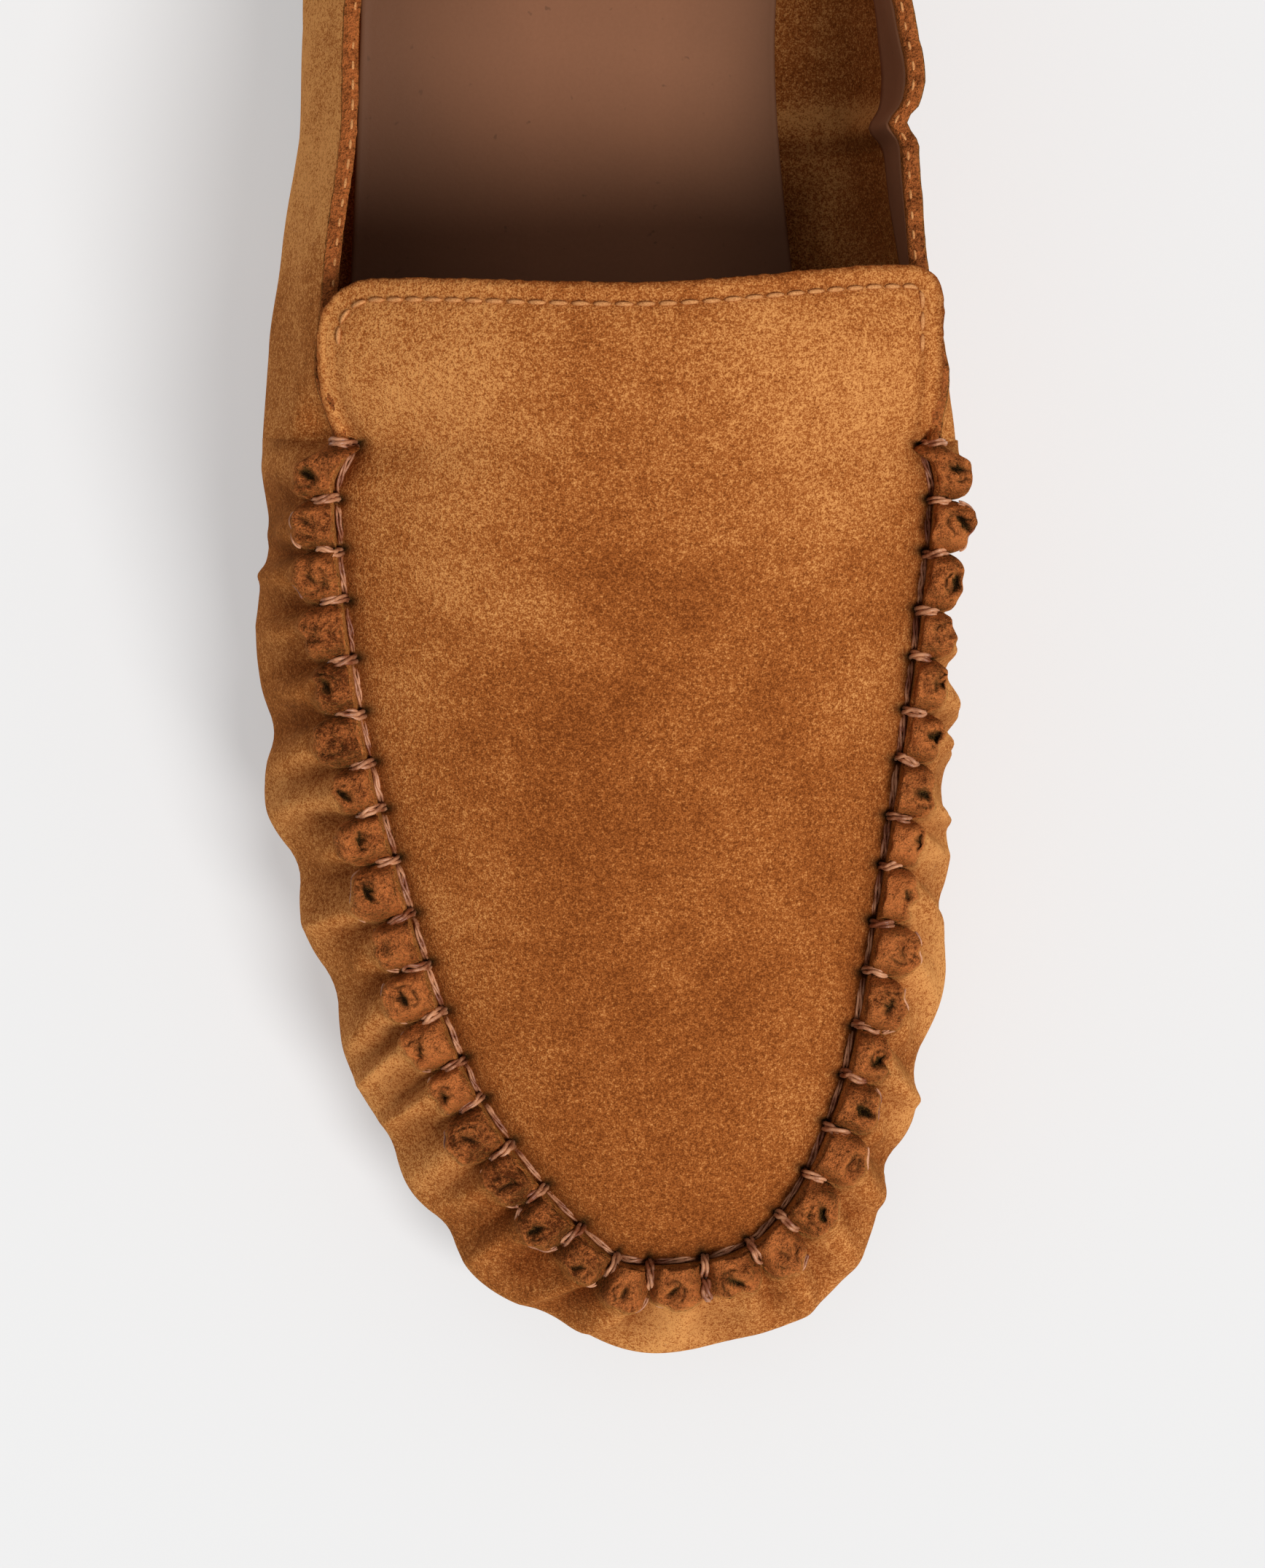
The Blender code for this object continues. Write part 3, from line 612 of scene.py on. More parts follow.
def tongue_outline(count, side):
    """Places from the seam's end round the tongue's corner to the middle of its free end."""
    seam_x, seam_y = seam_line(np.array([side * SEAM_END * 1.0]))[0, :2]
    edge_x = 40.7 if side < 0 else -35.5
    end_y = 10.6 if side < 0 else 8.8
    radius = 3.2 if side < 0 else 6.0
    inward = -1 if side < 0 else 1
    points = [np.array([seam_x, seam_y]), np.array([seam_x + (edge_x - seam_x) * 0.5, seam_y + 2.2]),
              np.array([seam_x + (edge_x - seam_x) * 0.85, seam_y + 5.0]),
              np.array([edge_x, seam_y + 9.0]), np.array([edge_x, end_y - radius])]
    for angle in np.linspace(0.0, np.pi / 2, 7)[1:]:
        points.append(np.array([edge_x + inward * radius * (1 - np.cos(angle)),
                                end_y - radius + radius * np.sin(angle)]))
    middle_x = 3.0
    for t in np.linspace(0, 1, 8)[1:]:
        x = points[10][0] + (middle_x - points[10][0]) * t
        y = end_y + (7.7 - end_y) * smooth(0.0, 1.0, t) ** 0.8
        points.append(np.array([x, y]))
    points = np.array(points)
    lengths = np.concatenate([[0], np.cumsum(np.linalg.norm(np.diff(points, axis=0), axis=1))])
    even = np.linspace(0, lengths[-1], count + 1)
    return np.column_stack([np.interp(even, lengths, points[:, k]) for k in (0, 1)])


TONGUE_COLUMNS = 150


def apron_half(side):
    """Edge places, outward directions, spine places and gather numbers of one half of the apron."""
    start = GATHERS // 2
    ends = VALLEYS[start:] if side > 0 else VALLEYS[start::-1]
    t = np.linspace(0, 1, 18, endpoint=False)
    stations = np.concatenate([a + (b - a) * t for a, b in zip(ends, ends[1:])])
    seam_xy = seam_line(stations)[:, :2]
    tongue_xy = tongue_outline(TONGUE_COLUMNS, side)
    edge = np.concatenate([seam_xy, tongue_xy])
    along = np.gradient(edge, axis=0)
    normal = unit(np.column_stack([-along[:, 1], along[:, 0]])) * side
    for _ in range(8):
        normal = unit(normal + np.roll(normal, 1, 0) + np.roll(normal, -1, 0))
        normal[0], normal[-1] = (0.0, -1.0), (0.0, 1.0)
    number = np.concatenate([gather_number(stations), np.full(len(tongue_xy), GATHERS * (side > 0))])
    seam_share = np.concatenate([np.linspace(0, 1, len(stations), endpoint=False), np.ones(len(tongue_xy))])
    tongue_share = np.concatenate([np.zeros(len(stations)), np.linspace(0, 1, len(tongue_xy))])
    spine_y = -92.0 + 82.0 * seam_share**1.3 + 12.0 * smooth(0, 1, tongue_share)
    spine = np.column_stack([6.0 - 3.0 * smooth(-92, 0, spine_y), spine_y])
    return edge, normal, spine, number, tongue_share


# The edge's section, as places outward of the groove and heights over the apron's face there.
STRIP_SECTION = (
    (-2.9, -0.03), (-2.2, -0.1), (-1.55, -0.28), (-1.0, -0.6), (-0.5, -0.95), (-0.02, -0.75), (0.1, 0.3),
    (0.14, 1.2), (0.22, 1.7), (0.5, 1.95), (0.95, 2.0), (1.35, 1.9), (1.55, 1.5), (1.6, 0.6),
    (1.6, -0.8), (1.1, -1.9), (-0.4, -2.3), (-2.2, -1.6),
)
TONGUE_SECTION = (
    (-2.9, 0.0), (-2.2, -0.08), (-1.6, -0.34), (-1.0, -0.08), (-0.5, 0.0), (0.0, -0.01), (0.3, -0.03),
    (0.55, -0.07), (0.75, -0.14), (0.92, -0.27), (1.02, -0.45), (1.05, -0.68), (1.02, -0.92),
    (0.9, -1.1), (0.6, -1.24), (0.1, -1.3), (-0.7, -1.3), (-2.2, -1.3),
)
FACE_SHARES = np.concatenate([[0.0], np.linspace(0.0, 1.0, 30)[1:] ** 1.25])


def apron_edge():
    """Both halves of the apron's edge in one ring, from the tongue's middle round the toe and back."""
    medial, lateral = apron_half(-1), apron_half(1)
    return (np.concatenate([a[::-1], b[1:]]) for a, b in zip(medial, lateral))


def apron_points():
    edge, normal, spine, number, tongue_share = apron_edge()
    tongue = smooth(0.0, 0.05, tongue_share)
    gap = number - np.round(number)
    seam_part = tongue_share == 0
    hole = np.exp(-(gap / 0.11) ** 2) * seam_part
    pinch = np.exp(-(gap / 0.13) ** 2) * seam_part
    strip, plain = np.array(STRIP_SECTION), np.array(TONGUE_SECTION)
    section = strip[:, None] * (1 - tongue)[:, None] + plain[:, None] * tongue[:, None]
    top = apron_height(edge[:, 0], edge[:, 1])
    rows = []
    for offset, rise in zip(section[..., 0], section[..., 1]):
        high = np.clip(rise - 0.3, 0, 2) / 2
        rise = rise - pinch * 0.95 * high + 0.3 * high * seam_part * (1 - pinch)
        rise = rise - hole * 0.5 * np.exp(-((offset + 0.7) / 0.8) ** 2)
        rise = rise - pinch * 0.22 * np.exp(-((offset + 1.7) / 1.3) ** 2)
        place = edge + normal * offset[:, None]
        base = np.where(offset < 0, apron_height(place[:, 0], place[:, 1]), top)
        rows.append(np.column_stack([place, base + rise]))
    band = np.array(rows)
    inner_edge = edge + normal * section[0, :, 0][:, None]
    sag = band[0, :, 2] - apron_height(inner_edge[:, 0], inner_edge[:, 1])
    face_top, face_under = [], []
    for share in FACE_SHARES[1:]:
        place = inner_edge + (spine - inner_edge) * share
        height = apron_height(place[:, 0], place[:, 1])
        face_top.append(np.column_stack([place, height + sag * np.exp(-share * 16.0)]))
        face_under.append(np.column_stack([place, height - APRON_SUEDE]))
    rows = np.concatenate([np.array(face_top[::-1]), band, np.array(face_under)])
    ripple = (grain(rows * [1, 1, 0], 22.0, 41) * 0.16 + grain(rows * [1, 1, 0], 7.0, 44) * 0.05)
    rows[..., 2] += ripple
    cut = slice(len(face_top) + 7, len(face_top) + 14)
    rough = grain(rows[cut], 0.9, 42) * 0.26 + grain(rows[cut], 0.5, 45) * 0.12
    rows[cut, :, 2] += rough * (0.45 + 0.55 * seam_part)
    rows[cut, :, :2] += normal * (grain(rows[cut], 0.9, 43) * 0.2)[..., None] * (
        0.6 + 0.4 * seam_part)[:, None]
    return rows, hole, tongue_share, len(face_top)


def apron_marks(rows, hole, tongue_share, faces_top):
    count, columns = rows.shape[:2]
    raw = np.zeros((count, columns))
    raw[faces_top + 7:faces_top + 14] = np.array([0.1, 0.35, 0.6, 0.75, 0.9, 0.8, 0.5])[:, None]
    on_tongue = (tongue_share > 0)
    raw *= np.where(on_tongue, 0.75, 1.0)
    shade = np.zeros_like(raw)
    # Painted shade in the groove beside the seam, where the apron rolls down into it.
    groove = np.array([0.08, 0.16, 0.32, 0.6, 0.85, 0.9, 0.7, 0.5, 0.25] + [0.0] * 9)
    shade[faces_top:faces_top + 18] = groove[:, None] * (1 - on_tongue)
    # Painted shade in the stitched groove on the tongue.
    shade[faces_top + 1:faces_top + 4] += np.array([0.1, 0.5, 0.1])[:, None] * on_tongue
    # Painted shade where the tongue's edge rolls under, with the darker colour of its cut edge.
    rolled_edge_shade = np.array([0.25, 0.5, 0.75, 0.9, 1.0, 1.0, 1.0, 1.0])
    shade[faces_top + 6:faces_top + 14] += rolled_edge_shade[:, None] * on_tongue
    # hole: painted shade round the stitch holes by the seam.
    dark = np.zeros_like(raw)
    dark[faces_top + 1:faces_top + 7] = np.array([0.15, 0.6, 1.0, 1.0, 1.0, 0.7])[:, None] * hole
    x, y = rows[..., 0], rows[..., 1]
    # tone: painted light, lighter towards both sides and most on the lateral half against the lamp's shading there;
    # also lighter towards the tongue than at the toe.
    tone = 0.7 * smooth(-35.0, 2.0, y) - 0.55 - 0.12 * smooth(-30.0, -60.0, y)
    tone += 0.4 * smooth(5.0, 34.0, x) + 0.62 * smooth(0.0, -20.0, x)
    return {"raw": raw, "shade": shade, "hole": dark, "tone": tone}


def bend_across_seam(piece):
    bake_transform(piece)


def make_apron():
    rows, hole, tongue_share, faces_top = apron_points()
    faces = grid_faces(len(rows), rows.shape[1])
    marks = apron_marks(rows, hole, tongue_share, faces_top)
    mesh = welded(mesh_from("apron_suede", rows.reshape(-1, 3), faces, marks), 2e-5)
    made = object_of("apron_suede", mesh, suede("suede_apron"), None)
    bend_across_seam(made)
    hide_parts("apron", "tongue_flap")


def make_apron_lining():
    """Thin leather under the apron and the tongue, cut back a little from their edge."""
    edge, normal, spine, _, tongue_share = apron_edge()
    back = 2.6 - 1.2 * smooth(0.0, 0.2, tongue_share)
    edge = edge - normal * back[:, None]
    rows = []
    for depth, shares in ((-1.5, np.linspace(1, 0, 24)), (-2.3, np.linspace(0, 1, 24))):
        for share in shares:
            place = edge + (spine - edge) * share
            rows.append(np.column_stack([place, apron_height(place[:, 0], place[:, 1]) + depth]))
    rows = np.array(rows)
    rows[..., 2] += grain(rows * [1, 1, 0], 22.0, 41) * 0.16
    mesh = mesh_from("apron_lining_leather", rows.reshape(-1, 3), grid_faces(len(rows), rows.shape[1]))
    made = object_of("apron_lining_leather", welded(mesh, 2e-5), lining_leather("leather_sock"), None)
    bend_across_seam(made)
    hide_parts("apron_lining", "tongue_lining")


# ---------------------------------------------------------------- bottom layers

def plate_rows(stations, layers):
    """Rows of a closed plate over the sole's outline: each layer is an inset and a height over the ground rise."""
    sole = curve(SOLE_EDGE, stations)
    out = outward(SOLE_EDGE, stations)
    centre = np.column_stack([4.0 - 7.0 * np.abs(stations) / HEEL, -88 + 183 * np.abs(stations) / HEEL])
    rows = []
    for inset, reach, height in layers:
        edge = sole - out * inset
        place = centre + (edge - centre) * reach
        rows.append(np.column_stack([place, clearance(place[:, 1]) + height(place)]))
    return np.array(rows)


def plate(name, layers, material, count=180):
    half = np.linspace(0, HEEL, count + 1)
    stations = np.concatenate([-half[::-1], half[1:-1]])
    rows = plate_rows(stations, layers)
    faces = grid_faces(len(rows), rows.shape[1], round_columns=True)
    mesh = welded(mesh_from(name, rows.reshape(-1, 3), faces), 2e-5)
    return object_of(name, mesh, material, "shoe")


def make_outsole():
    reaches = np.linspace(0, 1, 16)
    under = [(5.2, r, lambda p: 0.0) for r in reaches]
    under += [(4.9, 1.0, lambda p: 0.1), (4.75, 1.0, lambda p: 0.45), (4.25, 1.0, lambda p: 0.45),
              (4.1, 1.0, lambda p: 0.1), (3.8, 1.0, lambda p: 0.0), (0.9, 1.0, lambda p: 0.0),
              (0.4, 1.0, lambda p: 0.03)]
    side = [(-0.5, 1.0, lambda p: 0.25), (-0.9, 1.0, lambda p: 0.9), (-1.0, 1.0, lambda p: 1.7),
            (-0.95, 1.0, lambda p: 2.6), (-0.6, 1.0, lambda p: 3.2)]
    over = [(-0.1, r, lambda p: OUTSOLE) for r in reaches[::-1]]
    made = plate("outsole_rubber", under + side + over, sole_rubber())
    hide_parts("outsole")
    return made


SOCK_FRONT, SOCK_REAR = 9.2, 12.3


def sock_base(place):
    return SOCK_FRONT + (SOCK_REAR - SOCK_FRONT) * smooth(-26.0, 0.0, place[:, 1])


def make_sock():
    """The leather sock: it dips a little where a foot has pressed, and curls up at its edge."""
    def top(place):
        heel_cup = -0.7 * np.exp(-(((place[:, 0] + 4) / 18) ** 2 + ((place[:, 1] - 92) / 24) ** 2))
        ball = -0.6 * np.exp(-(((place[:, 0] - 2) / 24) ** 2 + ((place[:, 1] + 50) / 26) ** 2))
        soft = grain(np.column_stack([place, np.zeros(len(place))]), 16.0, 51) * 0.16
        return sock_base(place) + 1.0 + heel_cup + ball + soft
    under = [(2.5, r, sock_base) for r in np.linspace(0, 1, 20)]
    side = [(2.2, 1.0, lambda p: sock_base(p) + 0.3), (2.2, 1.0, lambda p: sock_base(p) + 0.8),
            (2.5, 1.0, lambda p: top(p) + 0.1)]
    over = [(2.9, r, top) for r in np.linspace(1, 0, 34)]
    made = plate("sock_leather", under + side + over, lining_leather("leather_sock"), 260)
    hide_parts("sock_lining")
    return made


def heel_block(name, insets_and_heights, material, node):
    """A heel layer: an upright plate over the back of the sole's outline with a straight breast."""
    side = np.linspace(BREAST, HEEL, 70)
    stations = np.concatenate([-side, side[-2::-1]])
    sole = curve(SOLE_EDGE, stations)
    out = outward(SOLE_EDGE, stations)
    breast_start, breast_end = sole[-1], sole[0]
    t = np.linspace(0, 1, 26)[1:-1][:, None]
    bow = np.column_stack([np.zeros(24), 2.2 * np.sin(np.pi * t[:, 0])])
    breast = breast_start + (breast_end - breast_start) * t + bow
    outline = np.concatenate([sole, breast])
    normal = np.concatenate([out, np.tile([0.0, -1.0], (24, 1))])
    centre = np.array([-4.0, 94.0])
    rows = []
    for inset, reach, height in insets_and_heights:
        edge = outline - normal * inset
        place = centre + (edge - centre) * reach
        rows.append(np.column_stack([place, np.full(len(place), height)]))
    rows = np.array(rows)
    faces = grid_faces(len(rows), rows.shape[1], round_columns=True)
    mesh = welded(mesh_from(name, rows.reshape(-1, 3), faces), 2e-5)
    made = object_of(name, mesh, material, "shoe")
    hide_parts(node)
    return made


def make_heel():
    low, high = 0.0, TOP_PIECE
    heel_block("heel_top_rubber", [(1.3, 0, low), (1.3, 0.5, low), (1.3, 0.9, low), (1.3, 0.98, low), (1.3, 1, low),
                                   (1.0, 1, low + 0.12), (0.85, 1, 0.45),
                                   (0.8, 1, high - 0.3), (1.1, 1, high), (1.1, 0, high)],
               sole_rubber(), "heel_top_piece")
    low, high = TOP_PIECE + 0.12, HEEL_HEIGHT - 0.12
    heel_block("heel_lift_leather", [(1.0, 0, low), (1.0, 1, low), (0.75, 1, low + 0.2),
                                     (0.5, 1, high - 0.2), (0.8, 1, high), (0.8, 0, high)],
               stacked_leather(), "heel_lift")


# ---------------------------------------------------------------- linings and backstay

def wall_strip(stations, heights, distances, thickness):
    """Rows of a closed strip along the wall: out over one face, round its edges and back."""
    heights = np.asarray(heights)
    face = wall(stations, heights) + wall_normals(stations, heights) * (
        distances + quarter_waves(stations, heights))[..., None]
    back = wall(stations, heights) + wall_normals(stations, heights) * (
        distances - thickness + quarter_waves(stations, heights))[..., None]
    return np.concatenate([face, back[::-1]])


def closed_strip(name, rows, material, marks=None):
    """A strip with its two ends closed by drawing its first and last columns together."""
    middle_first = rows[:, :1].mean(axis=0, keepdims=True).repeat(len(rows), 0)
    middle_last = rows[:, -1:].mean(axis=0, keepdims=True).repeat(len(rows), 0)
    half = len(rows) // 2
    first, last = rows[:, :1].copy(), rows[:, -1:].copy()
    first[half:] = first[:half][::-1]
    last[half:] = last[:half][::-1]
    rows = np.concatenate([first, rows, last], axis=1)
    faces = grid_faces(len(rows), rows.shape[1], round_rows=True)
    mesh = welded(mesh_from(name, rows.reshape(-1, 3), faces, marks), 2e-5)
    return object_of(name, mesh, material, "shoe")


def make_collar_linings():
    """Smooth leather strips inside the topline, with a hand-cut lower edge."""
    for name, sign, node in (("collar_lateral_leather", 1, "collar_lining_lateral"),
                             ("collar_medial_leather", -1, "collar_lining_medial")):
        stations = sign * np.linspace(SEAM_END + 0.35, HEEL - 0.005, 220)
        length = curve(RIM, stations)[:, 1]
        low = 0.72 + 0.015 * wander(length, 61, period=40.0)
        low = low + 0.08 * smooth(26.0, 8.0, length) - 0.03 * np.exp(-((length - 33) / 7.0) ** 2)
        heights = low + (0.972 - low) * np.linspace(0, 1, 12)[:, None]
        normals = wall_normals(stations, heights)
        waves = quarter_waves(stations, heights)[..., None]
        face = wall(stations, heights) + normals * (waves - SUEDE - 0.08)
        back = wall(stations, heights) + normals * (waves - SUEDE - 0.95)
        rows = np.concatenate([face, back[::-1]])
        # light=1.4 is painted light on the collar strips.
        made = closed_strip(name, rows, lining_leather("leather_collar", light=1.4))
        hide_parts(node)


def make_heel_lining():
    stations = np.linspace(HEEL - 2.45, HEEL + 2.45, 160)
    heights = np.linspace(0.2, 0.7, 14)
    rows = wall_strip(stations, heights, np.full((14, 160), -SUEDE - 1.5), 0.8)
    made = closed_strip("heel_lining_leather", rows, lining_leather("leather_sock"))
    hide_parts("heel_lining")


def make_backstay():
    stations = np.linspace(HEEL - 0.42, HEEL + 0.42, 60)
    heights = np.linspace(0.1, 0.995, 60)
    rows = wall_strip(stations, heights, np.full((60, 60), SUEDE + 0.05), SUEDE)
    raw = np.zeros(rows.shape[:2])
    raw[:, [0, 1, -2, -1]] = 0.9
    raw = np.concatenate([raw[:, :1], raw, raw[:, -1:]], axis=1)
    marks = {"raw": raw, "shade": np.zeros_like(raw)}
    made = closed_strip("backstay_suede", rows, suede("suede_wrap", streak=0.45), marks)
    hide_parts("backstay")


# ---------------------------------------------------------------- threads

def tube(path, radius, around=8):
    """Points and faces of a closed tube along a path, thinning to a point at both ends."""
    path = np.asarray(path, float)
    radius = np.broadcast_to(radius, len(path)).astype(float).copy()
    tangent = unit(np.gradient(path, axis=0))
    side = np.cross(tangent, [0.0, 0.0, 1.0])
    weak = np.linalg.norm(side, axis=1) < 0.2
    side[weak] = np.cross(tangent[weak], [1.0, 0.0, 0.0])
    side = unit(side)
    for i in range(1, len(side)):
        carried = side[i - 1] - tangent[i] * (side[i - 1] @ tangent[i])
        side[i] = carried / np.linalg.norm(carried)
    up = np.cross(side, tangent)
    angle = np.linspace(0, 2 * np.pi, around, endpoint=False)
    ring = side[:, None] * np.cos(angle)[:, None] + up[:, None] * np.sin(angle)[:, None]
    points = path[:, None] + ring * radius[:, None, None]
    points = np.concatenate([np.tile(path[0], (1, around, 1)), points, np.tile(path[-1], (1, around, 1))])
    return points.reshape(-1, 3), grid_faces(len(path) + 2, around, round_columns=True)


def plies(path, thickness, pitch=10.0, phase=0.0, strands=3, around=6):
    """Strands laid flat together along a path with a slow, slack twist."""
    path = np.asarray(path, float)
    lengths = np.concatenate([[0], np.cumsum(np.linalg.norm(np.diff(path, axis=0), axis=1))])
    count = max(8, int(lengths[-1] / 0.22))
    even = np.linspace(0, lengths[-1], count)
    fine = np.column_stack([np.interp(even, lengths, path[:, k]) for k in range(3)])
    for _ in range(3):
        fine[1:-1] = 0.25 * fine[:-2] + 0.5 * fine[1:-1] + 0.25 * fine[2:]
    tangent = unit(np.gradient(fine, axis=0))
    side = np.cross(tangent, [0.0, 0.0, 1.0])
    side = unit(side + 1e-6)
    up = np.cross(side, tangent)
    out = []
    for strand in range(strands):
        turn = 2 * np.pi * (even / pitch + strand / strands) + phase + 0.5 * wander(even, strand, 3, 4.0)
        offset = side * 1.25 * np.cos(turn)[:, None] + up * 0.55 * np.sin(turn)[:, None]
        centre = fine + offset * thickness * 0.27
        taper = np.clip(np.minimum(even, lengths[-1] - even) / 0.3 + 0.55, 0, 1)
        out.append(tube(centre, thickness * 0.24 * taper, around))
    return out


def joined(parts):
    points, faces, start = [], [], 0
    for p, f in parts:
        points.append(p)
        faces.append(f + start)
        start += len(p)
    return np.concatenate(points), np.concatenate(faces)


def seam_frame(number):
    """Place of the groove's foot, outward direction and along direction at a gather number."""
    station = np.interp(number, np.arange(GATHERS + 1), VALLEYS)
    place = seam_line(np.array([station]))[0]
    out = np.append(outward(RIM, np.array([station]))[0], 0.0)
    place[2] = apron_height(place[0], place[1])
    return place, out


def beside(number, out, up):
    place, direction = seam_frame(number)
    return place + direction * out + np.array([0, 0, up])


THREAD = 0.95


def seam_thread_parts():
    """Runs along the groove, and turns that cross over the strip into the notches."""
    rng = np.random.default_rng(71)
    parts = []
    for g in range(GATHERS):
        start, end = rng.uniform(-0.6, -0.3), rng.uniform(-0.5, -0.15)
        lift = rng.uniform(-0.4, 0.2)
        run = [beside(g + 0.07, start, -1.6), beside(g + 0.12, start, -0.8),
               beside(g + 0.24, start, lift - 0.1), beside(g + 0.5, (start + end) / 2, 0.15 + lift),
               beside(g + 0.75, end, lift - 0.1), beside(g + 0.87, end, -0.8), beside(g + 0.93, end, -1.6)]
        parts += plies(run, THREAD * rng.uniform(0.65, 0.95), phase=rng.uniform(0, 6))
    for g in range(GATHERS + 1):
        a, b = rng.uniform(-0.08, 0.08, 2)
        slack = rng.uniform(-0.2, 0.25)
        outer = lobe_reach(float(g)) + rng.uniform(-0.3, 0.3)
        middle = (a + b) / 2
        cross = [beside(g + a, -0.6, -1.2), beside(g + a, -0.45, -0.1), beside(g + a, -0.12, 0.9),
                 beside(g + a, 0.35, 1.7), beside(g + middle, 1.1, 2.0 + slack),
                 beside(g + middle, 0.55 * outer, 2.1 + slack), beside(g + b, 0.8 * outer, 1.95 + slack),
                 beside(g + b, outer, 1.4), beside(g + b, outer + 0.1, 0.4), beside(g + b, outer - 0.3, -0.8),
                 beside(g + b, outer - 1.2, -1.6)]
        parts += plies(cross, THREAD * rng.uniform(0.95, 1.35), phase=rng.uniform(0, 6))
    return parts


def outer_arc_parts():
    """Single strands that hug the outer foot of the loops, mostly on the lateral side and the toe."""
    rng = np.random.default_rng(72)
    parts = []
    for g in range(1, GATHERS - 1):
        chance = 0.25 if g < GATHERS // 3 else 0.75
        drop, wide = rng.uniform(0.6, 1.7), rng.uniform(0.05, 0.4)
        if rng.random() > chance:
            continue
        first, last = rng.uniform(0.0, 0.25), rng.uniform(0.75, 1.0)
        share = np.linspace(first, last, 17)
        reach = lobe_reach(g + np.clip(share, 0.02, 0.98)) + wide
        path = [beside(g + t, r, drop + 0.3 * np.cos(np.pi * t)) for t, r in zip(share, reach)]
        parts += plies(path, THREAD * 0.62, pitch=9.0, phase=rng.uniform(0, 6))
    return parts


def knot_parts():
    """The end of the thread, knotted off over the toe."""
    g = GATHERS // 2 - 1
    path = [beside(g, 2.4, 2.3), beside(g + 0.02, 3.4, 3.0), beside(g + 0.03, 4.4, 2.9), beside(g, 5.1, 2.5)]
    return plies(path, THREAD * 1.3, pitch=5.0)


def make_threads():
    points, faces = joined(seam_thread_parts() + outer_arc_parts() + knot_parts())
    mesh = welded(mesh_from("seam_thread", points, faces), 2e-6)
    made = object_of("seam_thread", mesh, waxed_thread(), "shoe")
    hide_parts("apron_thread")


def stitches(places, normals, length, radius, sink):
    """Short machine stitches along a line of places, each dipping into the leather at its ends."""
    lengths = np.concatenate([[0], np.cumsum(np.linalg.norm(np.diff(places, axis=0), axis=1))])
    count = int(lengths[-1] / length)
    parts = []
    for k in range(count):
        at = np.linspace((k + 0.12) * length, (k + 0.88) * length, 7)
        line = np.column_stack([np.interp(at, lengths, places[:, c]) for c in range(3)])
        out = np.column_stack([np.interp(at, lengths, normals[:, c]) for c in range(3)])
        arch = np.sin(np.linspace(0, np.pi, 7)) ** 0.7
        line = line + out * (arch * (radius + sink) - sink)[:, None]
        parts.append(tube(line, radius * (0.6 + 0.4 * arch), 6))
    return parts


def make_topline_stitches():
    """The row that holds the collar lining, sunk into the top of the cut edge."""
    stations = centred(np.linspace(SEAM_END + 0.3, STATIONS - SEAM_END - 0.3, 1100))
    out = outward(RIM, stations)
    places = curve(RIM, stations)
    inset = quarter_waves(stations, np.array([1.0]))[0] - 1.45
    places[:, :2] += out * inset[:, None]
    places[:, 2] += 0.16
    normals = np.tile([0.0, 0.0, 1.0], (len(places), 1))
    points, faces = joined(stitches(places, normals, 2.5, 0.2, 0.2))
    mesh = welded(mesh_from("topline_stitches", points, faces), 2e-6)
    made = object_of("topline_stitches", mesh, sewing_thread(), "shoe")
    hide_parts("topline_thread")


def make_tongue_stitches():
    medial = tongue_outline(120, -1)
    lateral = tongue_outline(120, 1)
    outline = np.concatenate([medial, lateral[::-1][1:]])
    outline = outline[(outline[:, 1] > 0.4)]
    along = unit(np.gradient(outline, axis=0))
    inward = np.column_stack([-along[:, 1], along[:, 0]])
    line = outline + inward * 1.7
    places = np.column_stack([line, apron_height(line[:, 0], line[:, 1]) - 0.16])
    normals = np.tile([0.0, 0.0, 1.0], (len(places), 1))
    points, faces = joined(stitches(places, normals, 2.7, 0.3, 0.1))
    mesh = welded(mesh_from("tongue_stitches", points, faces), 2e-6)
    made = object_of("tongue_stitches", mesh, sewing_thread(), "tongue")
    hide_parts("tongue_thread")


def make_backstay_stitches():
    parts = []
    for offset in (-0.33, 0.33):
        heights = np.linspace(0.14, 0.95, 120)
        station = np.array([centred(HEEL + offset)])
        places = wall(station, heights)[:, 0]
        normals = wall_normals(station, heights)[:, 0]
        parts += stitches(places + normals * (SUEDE + 0.05), normals, 2.7, 0.2, 0.2)
    points, faces = joined(parts)
    mesh = welded(mesh_from("backstay_stitches", points, faces), 2e-6)
    made = object_of("backstay_stitches", mesh, sewing_thread(), "shoe")
    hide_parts("backstay_thread")


# ---------------------------------------------------------------- materials

